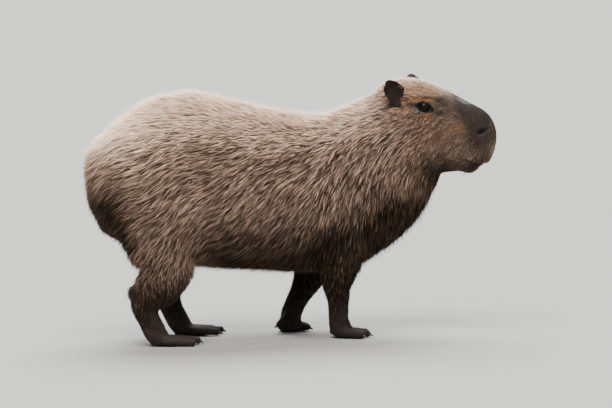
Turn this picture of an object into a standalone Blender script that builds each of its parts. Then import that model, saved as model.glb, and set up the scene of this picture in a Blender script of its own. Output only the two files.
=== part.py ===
"""A capybara standing as it does in a field, life size, as one body parted into its natural pieces.

Metres, +Z up.  The animal faces +X with its head turned a little to its right (-Y), and its four
soles lie in the plane z = 0.  The trunk, neck, head and legs are lofted along their own lines, grown
together into one skin, and then parted again with thin cuts, so neighbours meet across a hair's gap.
"""
import bpy
import bmesh
import numpy as np
from math import cos, radians, sin
from mathutils import Matrix, Vector

# Fit between pieces that meet, and how finely the one body is drawn
GAP = 0.0003
BLEND_VOXEL = 0.0045
BLEND_PASSES = 8
BODY_TRIANGLES = 3420

# Trunk and neck, seen from the side: place along the body, back line, belly line, half width, and
# how the section is centred to the side where the neck turns
TRUNK = (
    (-0.437, 0.465, 0.372, 0.040, 0.000),
    (-0.424, 0.496, 0.326, 0.080, 0.000),
    (-0.395, 0.524, 0.280, 0.112, 0.000),
    (-0.350, 0.561, 0.246, 0.137, 0.000),
    (-0.300, 0.593, 0.220, 0.151, 0.000),
    (-0.240, 0.619, 0.198, 0.161, 0.000),
    (-0.160, 0.623, 0.186, 0.168, 0.000),
    (-0.060, 0.600, 0.176, 0.170, 0.000),
    (0.040, 0.574, 0.167, 0.163, 0.000),
    (0.120, 0.560, 0.163, 0.151, 0.000),
    (0.190, 0.562, 0.166, 0.136, 0.000),
    (0.240, 0.582, 0.176, 0.122, -0.002),
    (0.290, 0.604, 0.204, 0.108, -0.008),
    (0.340, 0.620, 0.240, 0.097, -0.019),
    (0.385, 0.627, 0.284, 0.087, -0.038),
    (0.420, 0.618, 0.348, 0.074, -0.061),
    (0.440, 0.590, 0.404, 0.058, -0.074),
)
TRUNK_WIDEST = 0.46
TRUNK_ROUND = 2.25

# The head stands level and turned: where its own frame starts, and its heading from +X
HEAD_AT = (0.3467, -0.020)
HEAD_HEADING = radians(-30.0)
# Head sections in that frame: distance forward, top, bottom, half width, widest height, squareness
HEAD = (
    (-0.070, 0.600, 0.440, 0.066, 0.50, 2.1),
    (-0.035, 0.627, 0.415, 0.074, 0.50, 2.2),
    (0.000, 0.638, 0.404, 0.077, 0.50, 2.3),
    (0.040, 0.640, 0.400, 0.077, 0.48, 2.4),
    (0.080, 0.630, 0.402, 0.073, 0.46, 2.5),
    (0.120, 0.614, 0.406, 0.065, 0.44, 2.5),
    (0.160, 0.593, 0.410, 0.056, 0.42, 2.5),
    (0.200, 0.574, 0.409, 0.051, 0.42, 2.5),
    (0.214, 0.568, 0.426, 0.048, 0.42, 2.5),
    (0.228, 0.559, 0.430, 0.045, 0.44, 2.5),
    (0.240, 0.546, 0.442, 0.038, 0.46, 2.4),
    (0.249, 0.530, 0.464, 0.027, 0.50, 2.2),
    (0.2545, 0.516, 0.484, 0.012, 0.50, 2.0),
)
EYE_RADIUS = 0.0145
EYE_AT = (0.087, 0.0515, 0.574)
# Ears: middle in the head's frame, half width and height, depth of the cup, thickness, and how the
# opening turns to the front, how the top leans out and how it rakes back
EAR_AT = (0.016, 0.075, 0.611)
EAR_HALF = (0.029, 0.037)
EAR_CUP = 0.009
EAR_WALL = 0.0045
EAR_TURNS = (radians(20.0), radians(10.0), radians(14.0))
EAR_THINNING = 0.45
EAR_NARROWING = 0.20
EAR_RINGS = (0.40, 0.78, 1.0)
EAR_POINTS = 18

# Limbs: forward, height, half depth fore and aft, half width, and distance from the middle plane
NEAR_HIND_LIMB = (
    (-0.250, 0.400, 0.120, 0.052, 0.080),
    (-0.262, 0.320, 0.122, 0.062, 0.086),
    (-0.262, 0.250, 0.100, 0.058, 0.089),
    (-0.258, 0.205, 0.074, 0.050, 0.090),
    (-0.272, 0.165, 0.064, 0.041, 0.091),
    (-0.297, 0.133, 0.052, 0.033, 0.091),
    (-0.316, 0.104, 0.036, 0.029, 0.089),
    (-0.306, 0.072, 0.029, 0.027, 0.088),
    (-0.292, 0.040, 0.029, 0.029, 0.087),
    (-0.276, 0.012, 0.026, 0.031, 0.086),
)
FAR_HIND_LIMB = (
    (-0.240, 0.400, 0.115, 0.052, 0.080),
    (-0.245, 0.320, 0.118, 0.062, 0.086),
    (-0.242, 0.250, 0.096, 0.058, 0.089),
    (-0.234, 0.205, 0.070, 0.050, 0.090),
    (-0.233, 0.165, 0.060, 0.041, 0.090),
    (-0.237, 0.133, 0.050, 0.033, 0.089),
    (-0.232, 0.104, 0.037, 0.029, 0.088),
    (-0.221, 0.072, 0.029, 0.027, 0.088),
    (-0.206, 0.040, 0.029, 0.029, 0.087),
    (-0.190, 0.012, 0.026, 0.031, 0.086),
)
# Shank to hock, as two round stations: forward, height, radius, and distance from the middle plane
NEAR_HOCK = ((-0.268, 0.158, 0.036, 0.092), (-0.334, 0.136, 0.024, 0.089))
FAR_HOCK = ((-0.228, 0.158, 0.036, 0.092), (-0.252, 0.132, 0.024, 0.089))
NEAR_FORE_LIMB = (
    (0.190, 0.400, 0.085, 0.045, 0.066),
    (0.192, 0.320, 0.090, 0.055, 0.072),
    (0.190, 0.250, 0.078, 0.053, 0.076),
    (0.182, 0.195, 0.057, 0.045, 0.078),
    (0.173, 0.140, 0.040, 0.035, 0.080),
    (0.175, 0.105, 0.030, 0.029, 0.077),
    (0.176, 0.075, 0.026, 0.027, 0.075),
    (0.176, 0.045, 0.026, 0.028, 0.075),
    (0.182, 0.014, 0.030, 0.031, 0.075),
)
FAR_FORE_LIMB = (
    (0.200, 0.400, 0.080, 0.045, 0.066),
    (0.195, 0.320, 0.086, 0.055, 0.072),
    (0.180, 0.250, 0.074, 0.052, 0.076),
    (0.158, 0.195, 0.056, 0.043, 0.078),
    (0.132, 0.140, 0.042, 0.034, 0.079),
    (0.111, 0.102, 0.031, 0.029, 0.077),
    (0.094, 0.072, 0.027, 0.027, 0.076),
    (0.082, 0.044, 0.027, 0.028, 0.076),
    (0.078, 0.014, 0.026, 0.030, 0.076),
)

# Toes: distance aside, reach, spread in degrees and how high each starts; the far fore foot is rolling
# off, with its inner toe spread back off the floor.  Feet: where each stands, its toes and its heading
PAD_HEIGHT = 0.010
PAD_RADIUS = 0.030
PAD_STRETCH = (1.15, 1.08, 0.50)
TOE_RADIUS = 0.0118
TOE_CLEAR = 0.002
TOE_ROOT = 0.010
TOE_DROP = 0.004
LIFTED_TOE_FALL = 0.7
HIND_TOES = ((-0.024, 0.057, -12.0, 0.0), (0.000, 0.073, 0.0, 0.0), (0.024, 0.059, 12.0, 0.0))
FORE_TOES = ((-0.026, 0.037, -22.0, 0.0), (-0.010, 0.053, -7.0, 0.0),
             (0.010, 0.053, 7.0, 0.0), (0.026, 0.038, 22.0, 0.0))
ROLLING_TOES = ((-0.018, 0.039, -162.0, 0.040), (-0.012, 0.040, -9.0, 0.004),
                (0.008, 0.042, 6.0, 0.004), (0.025, 0.029, 24.0, 0.004))
FEET = {
    "hind_right": ((-0.256, -0.087), HIND_TOES, -3.0),
    "hind_left": ((-0.169, 0.087), HIND_TOES, 3.0),
    "fore_right": ((0.193, -0.077), FORE_TOES, -4.0),
    "fore_left": ((0.080, 0.078), ROLLING_TOES, 4.0),
}
CLAW_LENGTH = 0.0215
CLAW_RADIUS = 0.0052
CLAW_BURIED = 0.0075
CLAW_RISE = 0.0016
CLAW_BEND = 0.006
CLAW_TIP_LOWEST = 0.0042

# The stub of a tail, from inside the rump to its blunt tip
TAIL_ROOT = (-0.424, 0.0, 0.429)
TAIL_TIP = (-0.446, 0.0, 0.421)
TAIL_RADIUS = 0.011

# Where the body is parted.  Each leg: side, middle and top of the round arch high on the body, its half
# width, the reach of the cut below the belly to the rear and to the front, and the two cuts across it,
# each as a place along the body, a height and a lean
LEG_INNER_FACE = 0.045
MIDDLE_CLEARANCE = 0.004
BELLY_CLEAR = 0.148
CUT_OVERLAP = 0.03
CUT_REACH = 0.3
CUT_BELOW = -0.02
LEGS = {
    "hind_right": (-1, -0.262, 0.405, 0.108, (-0.385, -0.120),
                   (("shank", -0.250, 0.212, -0.15), ("hind_foot", -0.310, 0.112, 0.45))),
    "hind_left": (1, -0.240, 0.405, 0.108, (-0.300, -0.050),
                  (("shank", -0.236, 0.212, -0.10), ("hind_foot", -0.240, 0.112, 0.30))),
    "fore_right": (-1, 0.190, 0.415, 0.085, (0.100, 0.300),
                   (("forearm", 0.180, 0.190, 0.00), ("fore_foot", 0.176, 0.052, 0.00))),
    "fore_left": (1, 0.168, 0.415, 0.088, (0.005, 0.240),
                  (("forearm", 0.155, 0.188, -0.25), ("fore_foot", 0.088, 0.068, -0.25))),
}
UPPER_PIECE = {"hind": "thigh", "fore": "upper_arm"}
# Cuts of the neck (place and direction), of the head (forward and up in its frame, and direction), and
# the side view of what the lower jaw takes, whose first two corners are its rear face
NECK_CUT = ((0.262, 0.0, 0.400), (0.961, 0.0, 0.275))
HEAD_CUT = ((0.022, 0.522), (0.867, 0.498))
JAW = ((0.060, 0.340), (0.060, 0.452), (0.155, 0.444), (0.260, 0.420), (0.260, 0.340))
JAW_REACH = 0.2

# How finely the forms are drawn before they are blended: points round a section, sections on the way
RING_POINTS = 72
LIMB_POINTS = 28
TRUNK_SECTIONS = 64
HEAD_SECTIONS = 48
LIMB_SECTIONS = 30


def clear_scene():
    """Start from nothing but this model."""
    for old in list(bpy.data.objects):
        bpy.data.objects.remove(old, do_unlink=True)


def material(name, colour, roughness):
    """One plain finish: base colour, roughness, no metal."""
    finish = bpy.data.materials.new(name)
    finish.use_nodes = True
    shader = finish.node_tree.nodes["Principled BSDF"]
    shader.inputs["Base Color"].default_value = (*colour, 1.0)
    shader.inputs["Roughness"].default_value = roughness
    shader.inputs["Metallic"].default_value = 0.0
    return finish


def through(stations, places):
    """Smooth values between stations: a cubic curve whose slope at each one leans on its neighbours."""
    table = np.asarray(stations, float)
    knots, values = table[:, 0], table[:, 1:]
    slopes = np.gradient(values, knots, axis=0)
    cell = np.clip(np.searchsorted(knots, places) - 1, 0, len(knots) - 2)
    width = (knots[cell + 1] - knots[cell])[:, None]
    t = ((places - knots[cell]) / width[:, 0])[:, None]
    return ((1 + 2 * t) * (1 - t) ** 2 * values[cell] + t * (1 - t) ** 2 * width * slopes[cell]
            + t * t * (3 - 2 * t) * values[cell + 1] + t * t * (t - 1) * width * slopes[cell + 1])


def bowed(value, squareness):
    """A cosine or sine bent towards a square, for a superellipse."""
    return np.sign(value) * np.abs(value) ** (2.0 / squareness)


def mesh_object(name, points, faces):
    """An object whose mesh has these points and faces, with all faces turned outward."""
    form = bmesh.new()
    corners = [form.verts.new(tuple(point)) for point in points]
    for face in faces:
        form.faces.new([corners[index] for index in face])
    bmesh.ops.recalc_face_normals(form, faces=form.faces)
    return object_from(form, name)


def object_from(form, name):
    """A smooth-shaded object that takes over a finished bmesh."""
    mesh = bpy.data.meshes.new(name)
    form.to_mesh(mesh)
    form.free()
    mesh.shade_smooth()
    thing = bpy.data.objects.new(name, mesh)
    bpy.context.collection.objects.link(thing)
    return thing


def loft(name, rings):
    """A closed solid through rings of equal length, each end closed by a fan to its own middle."""
    rings = np.asarray(rings)
    count, around = rings.shape[:2]
    points = [*rings.reshape(-1, 3), rings[0].mean(axis=0), rings[-1].mean(axis=0)]
    faces = []
    for row in range(count - 1):
        for step in range(around):
            after = (step + 1) % around
            faces.append((row * around + step, row * around + after,
                          (row + 1) * around + after, (row + 1) * around + step))
    for step in range(around):
        after = (step + 1) % around
        faces.append((count * around, step, after))
        faces.append((count * around + 1, (count - 1) * around + step, (count - 1) * around + after))
    return mesh_object(name, points, faces)


def section(top, bottom, half, share, squareness):
    """Sideways and upward places of one upright section: a superellipse, widest at a share of its height."""
    around = np.linspace(0, 2 * np.pi, RING_POINTS, endpoint=False)
    widest = bottom + (top - bottom) * share
    rise = np.where(np.sin(around) > 0, top - widest, widest - bottom)
    return half * bowed(np.cos(around), squareness), widest + rise * bowed(np.sin(around), squareness)


def trunk_form():
    """Upright sections from the rump to the throat."""
    places = np.linspace(TRUNK[0][0], TRUNK[-1][0], TRUNK_SECTIONS)
    rings = []
    for x, (top, bottom, half, aside) in zip(places, through(TRUNK, places)):
        side, up = section(top, bottom, half, TRUNK_WIDEST, TRUNK_ROUND)
        rings.append(np.stack([np.full(RING_POINTS, x), aside + side, up], axis=1))
    return loft("trunk_form", rings)


def from_head(forward, aside, up):
    """A point of the head's own frame (forward, to its left, up) in the world."""
    return Vector((HEAD_AT[0] + forward * cos(HEAD_HEADING) - aside * sin(HEAD_HEADING),
                   HEAD_AT[1] + forward * sin(HEAD_HEADING) + aside * cos(HEAD_HEADING), up))


def head_form():
    """Upright sections from the nape to the nose, in the turned frame of the head."""
    places = np.linspace(HEAD[0][0], HEAD[-1][0], HEAD_SECTIONS)
    rings = []
    for x, row in zip(places, through(HEAD, places)):
        rings.append([from_head(x, y, z) for y, z in zip(*section(*row))])
    return loft("head_form", rings)


def limb_form(name, stations, side):
    """Oval sections square to the limb's own line, from inside the trunk down to the foot."""
    knots = np.linspace(0.0, 1.0, len(stations))
    line = through([(k, *row) for k, row in zip(knots, stations)], np.linspace(0.0, 1.0, LIMB_SECTIONS))
    centre = np.stack([line[:, 0], side * line[:, 4], line[:, 1]], axis=1)
    along = np.gradient(centre, axis=0)
    fore = np.cross(along, (0.0, side, 0.0))
    fore /= np.linalg.norm(fore, axis=1, keepdims=True)
    around = np.linspace(0, 2 * np.pi, LIMB_POINTS, endpoint=False)
    rings = [c + np.outer(np.cos(around) * deep, f) + np.outer(np.sin(around) * wide, (0, 1, 0))
             for c, f, deep, wide in zip(centre, fore, line[:, 2], line[:, 3])]
    return loft(name, rings)


def ball(name, centre, radius, stretch=(1.0, 1.0, 1.0), across=12):
    """A round lump, drawn out along the axes by the given factors."""
    form = bmesh.new()
    bmesh.ops.create_uvsphere(form, u_segments=across, v_segments=across * 3 // 4, radius=radius)
    bmesh.ops.transform(form, matrix=Matrix.Translation(centre) @ Matrix.Diagonal((*stretch, 1.0)),
                        verts=form.verts)
    return object_from(form, name)


def rod(name, start, end, radius, end_radius, rings=5, around=10, droop=0.0):
    """A round rod from one point to another, tapering, its line drooping in the middle."""
    start, end = np.asarray(start, float), np.asarray(end, float)
    along = (end - start) / np.linalg.norm(end - start)
    side = np.cross(along, (0, 0, 1.0))
    side /= np.linalg.norm(side)
    up = np.cross(side, along)
    turn = np.linspace(0, 2 * np.pi, around, endpoint=False)
    rows = []
    for t in np.linspace(0, 1, rings):
        r = radius + (end_radius - radius) * t
        middle = start + (end - start) * t - np.array([0, 0, droop * 4 * t * (1 - t)])
        rows.append(middle + np.outer(np.cos(turn) * r, side) + np.outer(np.sin(turn) * r, up))
    return loft(name, rows)


def toe_lines(foot, toes, heading):
    """Root, tip and direction of every toe of a foot that points along its heading."""
    lines = []
    for aside, reach, spread, lift in toes:
        turn = radians(heading + spread)
        root = Vector((foot[0] - aside * sin(radians(heading)),
                       foot[1] + aside * cos(radians(heading)), TOE_RADIUS + TOE_CLEAR + lift))
        drop = TOE_DROP + lift * LIFTED_TOE_FALL
        way = Vector((cos(turn) * reach, sin(turn) * reach, -drop))
        lines.append((root, root + way, way.normalized()))
    return lines


def foot_forms(name, foot, toes, heading):
    """A low pad with its toes, partly webbed: rods that leave the pad and end in round tips."""
    pieces = [ball(name + "_pad", (*foot, PAD_HEIGHT), PAD_RADIUS, PAD_STRETCH)]
    for number, (root, tip, way) in enumerate(toe_lines(foot, toes, heading)):
        back = root - way * TOE_ROOT
        pieces.append(rod(f"{name}_toe_{number}", back, tip, TOE_RADIUS * 1.15, TOE_RADIUS * 0.88))
        pieces.append(ball(f"{name}_tip_{number}", tip, TOE_RADIUS * 0.96, across=12))
    return pieces


def joined(pieces, name):
    """All these meshes as one object."""
    form = bmesh.new()
    for piece in pieces:
        form.from_mesh(piece.data)
        bpy.data.objects.remove(piece, do_unlink=True)
    return object_from(form, name)


def settled(thing):
    """Make the object's mesh what its modifiers give, and drop the modifiers."""
    seen = thing.evaluated_get(bpy.context.evaluated_depsgraph_get())
    mesh = bpy.data.meshes.new_from_object(seen)
    thing.modifiers.clear()
    thing.data = mesh
    return thing


def grown_together():
    """One closed body from all the forms: voxel blend, then smoothing, then fewer facets."""
    forms = [trunk_form(), head_form()]
    forms.append(limb_form("hind_right", NEAR_HIND_LIMB, -1))
    forms.append(limb_form("hind_left", FAR_HIND_LIMB, 1))
    forms.append(limb_form("fore_right", NEAR_FORE_LIMB, -1))
    forms.append(limb_form("fore_left", FAR_FORE_LIMB, 1))
    for side, ((kx, kz, kr, ky), (hx, hz, hr, hy)) in ((-1, NEAR_HOCK), (1, FAR_HOCK)):
        forms.append(rod("shank", (kx, side * ky, kz), (hx, side * hy, hz), kr, hr))
        forms.append(ball("hock", (hx, side * hy, hz), hr))
    for name, (foot, toes, heading) in FEET.items():
        forms += foot_forms(name, foot, toes, heading)
    body = joined(forms, "body")
    blend = body.modifiers.new("blend", "REMESH")
    blend.mode = "VOXEL"
    blend.voxel_size = BLEND_VOXEL
    soften = body.modifiers.new("soften", "SMOOTH")
    soften.factor = 0.5
    soften.iterations = BLEND_PASSES
    settled(body)
    facets = sum(len(face.vertices) - 2 for face in body.data.polygons)
    fewer = body.modifiers.new("fewer", "DECIMATE")
    fewer.ratio = BODY_TRIANGLES / facets
    return settled(body)


def prism(name, outline, low, high, place=Matrix.Identity(4)):
    """A prism along Y between low and high, over a side view outline of (x, z) points, then placed."""
    count = len(outline)
    points = [place @ Vector((x, y, z)) for y in (low, high) for x, z in outline]
    faces = [tuple(range(count)), tuple(range(2 * count - 1, count - 1, -1))]
    faces += [(i, (i + 1) % count, count + (i + 1) % count, count + i) for i in range(count)]
    return mesh_object(name, points, faces)


def half_space(name, point, normal, size=2.0):
    """A big block whose one face passes through the point, with the block on the normal's side."""
    form = bmesh.new()
    bmesh.ops.create_cube(form, size=size)
    bmesh.ops.translate(form, verts=form.verts, vec=(0, 0, size / 2))
    turn = Vector((0, 0, 1)).rotation_difference(normal).to_matrix().to_4x4()
    bmesh.ops.transform(form, matrix=Matrix.Translation(point) @ turn, verts=form.verts)
    return object_from(form, name)


def copy_of(thing, name):
    """A second object with a mesh of its own."""
    other = bpy.data.objects.new(name, thing.data.copy())
    bpy.context.collection.objects.link(other)
    return other


def boolean(thing, cutter, operation):
    """Cut the object with the cutter, or keep or add what they share, and settle it."""
    step = thing.modifiers.new(operation.lower(), "BOOLEAN")
    step.operation = operation
    step.object = cutter
    settled(thing)
    bpy.data.objects.remove(cutter, do_unlink=True)
    return thing


def swollen(thing, name, by=GAP):
    """A copy a hair larger all over: every point moved out along its normal."""
    other = copy_of(thing, name)
    form = bmesh.new()
    form.from_mesh(other.data)
    form.normal_update()
    for vertex in form.verts:
        vertex.co += vertex.normal * by
    form.to_mesh(other.data)
    form.free()
    return other


def part_off(thing, cutter, wider_cutter, name):
    """Take what lies in the cutter off as a new object; the rest loses what lies in the wider one."""
    piece = boolean(copy_of(thing, name), cutter, "INTERSECT")
    boolean(thing, wider_cutter, "DIFFERENCE")
    return piece


def part_at_plane(thing, point, normal, name):
    """Take off, as a new object, what lies beyond a plane, leaving the gap."""
    normal = Vector(normal).normalized()
    return part_off(thing, half_space("beyond", Vector(point) + normal * GAP, normal),
                    half_space("beyond_wider", point, normal), name)


def sideways_prism(name, outline, side, inner, outer):
    """A prism over a side view outline, on one side of the middle plane."""
    low, high = sorted((side * inner, side * outer))
    return prism(name, outline, low, high)


def leg_cutter(side, middle, top, half, reach, grow):
    """A round arch from beside the middle plane outward, on a wider block that takes all below the belly."""
    wide = half + grow
    under = BELLY_CLEAR - CUT_OVERLAP
    arch = [(middle + wide * cos(t), top - half + wide * sin(t)) for t in np.linspace(np.pi, 0.0, 9)]
    arch = [(middle - wide, under), *arch, (middle + wide, under)]
    back, front = reach[0] - grow, reach[1] + grow
    lid = BELLY_CLEAR + grow
    below = [(back, CUT_BELOW), (back, lid), (front, lid), (front, CUT_BELOW)]
    upper = sideways_prism("arch", arch, side, LEG_INNER_FACE - grow, CUT_REACH)
    lower = sideways_prism("below", below, side, MIDDLE_CLEARANCE - grow, CUT_REACH + CUT_OVERLAP)
    return boolean(upper, lower, "UNION")


def part_leg(body, name, side, middle, top, half, reach, cuts):
    """Part one leg from the trunk, then part it at its two main joints."""
    pair, hand = name.split("_")
    pieces = [part_off(body, leg_cutter(side, middle, top, half, reach, 0.0),
                       leg_cutter(side, middle, top, half, reach, GAP), f"{UPPER_PIECE[pair]}_{hand}")]
    for piece_name, x, z, lean in cuts:
        pieces.append(part_at_plane(pieces[-1], (x, 0, z), (lean, 0, -1.0), f"{piece_name}_{hand}"))
    return pieces


def jaw_cutter(grow):
    """What lies under the mouth's line and before the angle of the jaw, in the head's frame."""
    rear = JAW[0][0]
    mouth = min(z for x, z in JAW[1:4])
    outline = [(x - grow if x == rear else x, z + grow if z >= mouth else z) for x, z in JAW]
    placed = Matrix.Translation((*HEAD_AT, 0)) @ Matrix.Rotation(HEAD_HEADING, 4, "Z")
    return prism("jaw_cut", outline, -JAW_REACH - grow, JAW_REACH + grow, placed)


def ear_form(name, side):
    """A thin cup, broad above and narrow below: rings over its opening, then back over its outer side."""
    turn, lean, rake = EAR_TURNS
    opening = Vector((sin(turn) * cos(lean), side * cos(turn) * cos(lean), -sin(lean)))
    across = Vector((cos(turn), -side * sin(turn), 0.0))
    tall = opening.cross(across)
    if tall.z < 0:
        tall = -tall
    rings = []
    for share, depth in [(r, 0.0) for r in EAR_RINGS] + [(r, 1.0) for r in EAR_RINGS[::-1]]:
        wall = depth * EAR_WALL * (1.0 - EAR_THINNING * share * share)
        cup = EAR_CUP * (1.0 - share * share) + wall
        ring = []
        for angle in np.linspace(0, 2 * np.pi, EAR_POINTS, endpoint=False):
            wide = EAR_HALF[0] * cos(angle) * (1.0 - EAR_NARROWING * (1.0 - sin(angle))) * share
            high = EAR_HALF[1] * sin(angle) * share
            u, v = wide * cos(rake) - high * sin(rake), wide * sin(rake) + high * cos(rake)
            at = Vector((EAR_AT[0], side * EAR_AT[1], EAR_AT[2])) + across * u + tall * v - opening * cup
            ring.append(from_head(*at))
        rings.append(ring)
    return loft(name, rings)


def claw_form(name, tip, way):
    """A blunt hoof-like claw that grows out of a toe's tip and bends down."""
    level = Vector((way.x, way.y, 0.0)).normalized()
    start = tip - level * CLAW_BURIED + Vector((0, 0, CLAW_RISE))
    end = start + level * CLAW_LENGTH
    end.z = max(CLAW_TIP_LOWEST, tip.z - CLAW_BEND)
    return rod(name, start, end, CLAW_RADIUS, CLAW_RADIUS * 0.45, rings=3, around=7, droop=-CLAW_RISE)


def finished(thing, finish):
    """Round shading, broken where the surface turns sharply, and the piece's own material."""
    thing.data.shade_smooth()
    thing.data.set_sharp_from_angle(angle=radians(40))
    thing.data.materials.clear()
    thing.data.materials.append(finish)


def centre_on_floor(things):
    """Move every mesh so that the middle of the whole box, seen from above, is at the origin."""
    corners = np.array([vertex.co for thing in things for vertex in thing.data.vertices])
    middle = (corners.min(axis=0) + corners.max(axis=0)) / 2
    for thing in things:
        thing.data.transform(Matrix.Translation((-middle[0], -middle[1], 0.0)))


def main():
    clear_scene()
    coat_back = material("coat_back", (0.34, 0.24, 0.17), 0.85)
    coat_flank = material("coat_flank", (0.25, 0.18, 0.13), 0.85)
    coat_face = material("coat_face", (0.24, 0.16, 0.11), 0.80)
    short_fur = material("short_fur", (0.085, 0.062, 0.052), 0.75)
    dark_skin = material("dark_skin", (0.045, 0.035, 0.035), 0.60)
    horn = material("claw_horn", (0.16, 0.13, 0.12), 0.45)
    wet_eye = material("wet_eye", (0.012, 0.008, 0.006), 0.06)

    trunk = grown_together()
    boolean(trunk, half_space("floor", (0, 0, 0), Vector((0, 0, -1))), "DIFFERENCE")
    trunk.name = "trunk"
    pieces = {"trunk": (trunk, coat_back)}

    feet = {}
    for name, leg in LEGS.items():
        upper, middle, foot = part_leg(trunk, name, *leg)
        feet[name] = foot
        pieces[upper.name] = (upper, coat_flank)
        pieces[middle.name] = (middle, short_fur)
        pieces[foot.name] = (foot, dark_skin)

    neck = part_at_plane(trunk, *NECK_CUT, "neck")
    (forward, up), (ahead, rise) = HEAD_CUT
    way = from_head(ahead, 0, 0) - from_head(0, 0, 0)
    head = part_at_plane(neck, from_head(forward, 0, up), (way.x, way.y, rise), "head")
    jaw = part_off(head, jaw_cutter(0.0), jaw_cutter(GAP), "lower_jaw")
    pieces.update(neck=(neck, coat_flank), head=(head, coat_face), lower_jaw=(jaw, coat_face))

    for side, hand in ((-1, "right"), (1, "left")):
        eye = ball(f"eye_{hand}", from_head(EYE_AT[0], side * EYE_AT[1], EYE_AT[2]), EYE_RADIUS)
        ear = ear_form(f"ear_{hand}", side)
        for insert, finish in ((eye, wet_eye), (ear, short_fur)):
            boolean(head, swollen(insert, "socket"), "DIFFERENCE")
            pieces[insert.name] = (insert, finish)

    for name, (foot, toes, heading) in FEET.items():
        for number, (_, tip, way) in enumerate(toe_lines(foot, toes, heading), 1):
            claw = claw_form(f"claw_{name}_{number}", tip, way)
            boolean(feet[name], swollen(claw, "socket"), "DIFFERENCE")
            pieces[claw.name] = (claw, horn)

    tail = rod("tail", TAIL_ROOT, TAIL_TIP, TAIL_RADIUS, TAIL_RADIUS * 0.45)
    boolean(trunk, swollen(tail, "socket"), "DIFFERENCE")
    pieces["tail"] = (tail, coat_back)

    for thing, finish in pieces.values():
        finished(thing, finish)
    centre_on_floor([thing for thing, _ in pieces.values()])


if __name__ == "__main__":
    main()
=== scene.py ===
"""A capybara as a still, life-size model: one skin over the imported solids, a coat of solid tufts that
lies over it, eyes, claws and whiskers, on a plain floor in soft studio light."""
from math import cos, pi, radians, sin
import bmesh
import bpy
import mathutils
import numpy as np
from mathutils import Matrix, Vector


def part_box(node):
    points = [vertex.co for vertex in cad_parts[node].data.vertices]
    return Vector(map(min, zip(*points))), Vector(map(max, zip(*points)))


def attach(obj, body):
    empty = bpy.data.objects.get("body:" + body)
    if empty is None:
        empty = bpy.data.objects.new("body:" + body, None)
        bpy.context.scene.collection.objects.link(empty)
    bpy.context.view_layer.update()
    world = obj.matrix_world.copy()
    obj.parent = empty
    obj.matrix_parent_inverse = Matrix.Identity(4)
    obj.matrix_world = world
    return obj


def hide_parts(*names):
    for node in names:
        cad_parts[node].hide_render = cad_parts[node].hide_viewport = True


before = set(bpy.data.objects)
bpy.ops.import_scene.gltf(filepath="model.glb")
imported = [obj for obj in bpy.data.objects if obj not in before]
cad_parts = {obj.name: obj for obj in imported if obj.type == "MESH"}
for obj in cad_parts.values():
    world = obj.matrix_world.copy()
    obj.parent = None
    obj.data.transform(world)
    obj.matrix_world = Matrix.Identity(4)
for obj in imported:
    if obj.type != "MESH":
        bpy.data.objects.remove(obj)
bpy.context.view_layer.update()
SIDES = (("left", 1), ("right", -1))  # with the sign of places aside

# Camera: what it looks at, how far off it stands, its bearing, height and roll, and its lens
CAMERA_AIM = (0.0445, -0.0173, 0.3323)
CAMERA_DISTANCE = 14.0
CAMERA_BEARING = radians(-10.0)
CAMERA_HEIGHT = radians(6.5)
CAMERA_ROLL = radians(1.08)
CAMERA_LENS = 329.41
CAMERA_SENSOR = 36.0

# Studio: floor, air and lamps
FLOOR_HALF = 60.0
FLOOR_COLOUR = (0.27, 0.267, 0.261)
AIR_COLOUR = (0.93, 0.90, 0.87)
AIR_STRENGTH = 0.47
LAMPS = (  # name, where it shines from, spread and power
    ("key", (-0.8, -1.5, 3.4), radians(38.0), 5.3),
    ("fill", (3.0, -2.6, 2.4), radians(60.0), 0.6),
    ("back", (0.4, 1.8, 3.2), radians(45.0), 8.0),
)

# Skin: solids grown to close the parting cuts, size of its facets, and rounds of smoothing
CUT_GROWTH = 0.0006
SKIN_FACET = 0.0037
SKIN_ROUNDS = 46

# Head: how far forward of the zero of its own frame the eyes lie
EYE_FORWARD = 0.087

FLESH = [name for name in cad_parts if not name.startswith(("eye_", "claw_"))]
EARS = [name for name in FLESH if name.startswith("ear_")]


def unit(vectors):
    """Each row divided by its own length."""
    return vectors / np.maximum(np.linalg.norm(vectors, axis=-1, keepdims=True), 1e-12)


def smooth_step(values, low, high):
    """0 up to low and 1 from high on, with a cubic turn between: t t (3 - 2 t)."""
    t = np.clip((values - low) / (high - low), 0.0, 1.0)
    return t * t * (3.0 - 2.0 * t)


def bump(points, centre, reach):
    """A bell of height 1 at the centre: exp of minus the squared distance in units of reach."""
    away = (points - np.array(centre)) / np.array(reach)
    return np.exp(-(away ** 2).sum(axis=-1))


def box_middle(node):
    """The middle of a node's box."""
    low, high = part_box(node)
    return (np.array(low) + np.array(high)) / 2


EYES = {side: box_middle("eye_" + side) for side in ("left", "right")}
EYE_RADIUS = {side: float(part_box("eye_" + side)[1].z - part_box("eye_" + side)[0].z) / 2 for side in EYES}
HEAD_MIDDLE = (EYES["left"] + EYES["right"]) / 2
HEAD_ASIDE = unit(EYES["left"] - EYES["right"])
HEAD_UP = np.array((0.0, 0.0, 1.0))
HEAD_FORWARD = unit(np.cross(HEAD_ASIDE, HEAD_UP))


def to_head(points):
    """Forward, aside (left is positive) and height of points, in the head's own frame."""
    away = points - HEAD_MIDDLE
    return np.stack((away @ HEAD_FORWARD + EYE_FORWARD, away @ HEAD_ASIDE, points[..., 2]), axis=-1)


def from_head(local):
    """The place of points that are given forward, aside and in height in the head's own frame."""
    local = np.asarray(local, float)
    flat = HEAD_MIDDLE + np.multiply.outer(local[..., 0] - EYE_FORWARD, HEAD_FORWARD)
    flat = flat + np.multiply.outer(local[..., 1], HEAD_ASIDE)
    flat[..., 2] = local[..., 2]
    return flat


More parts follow.
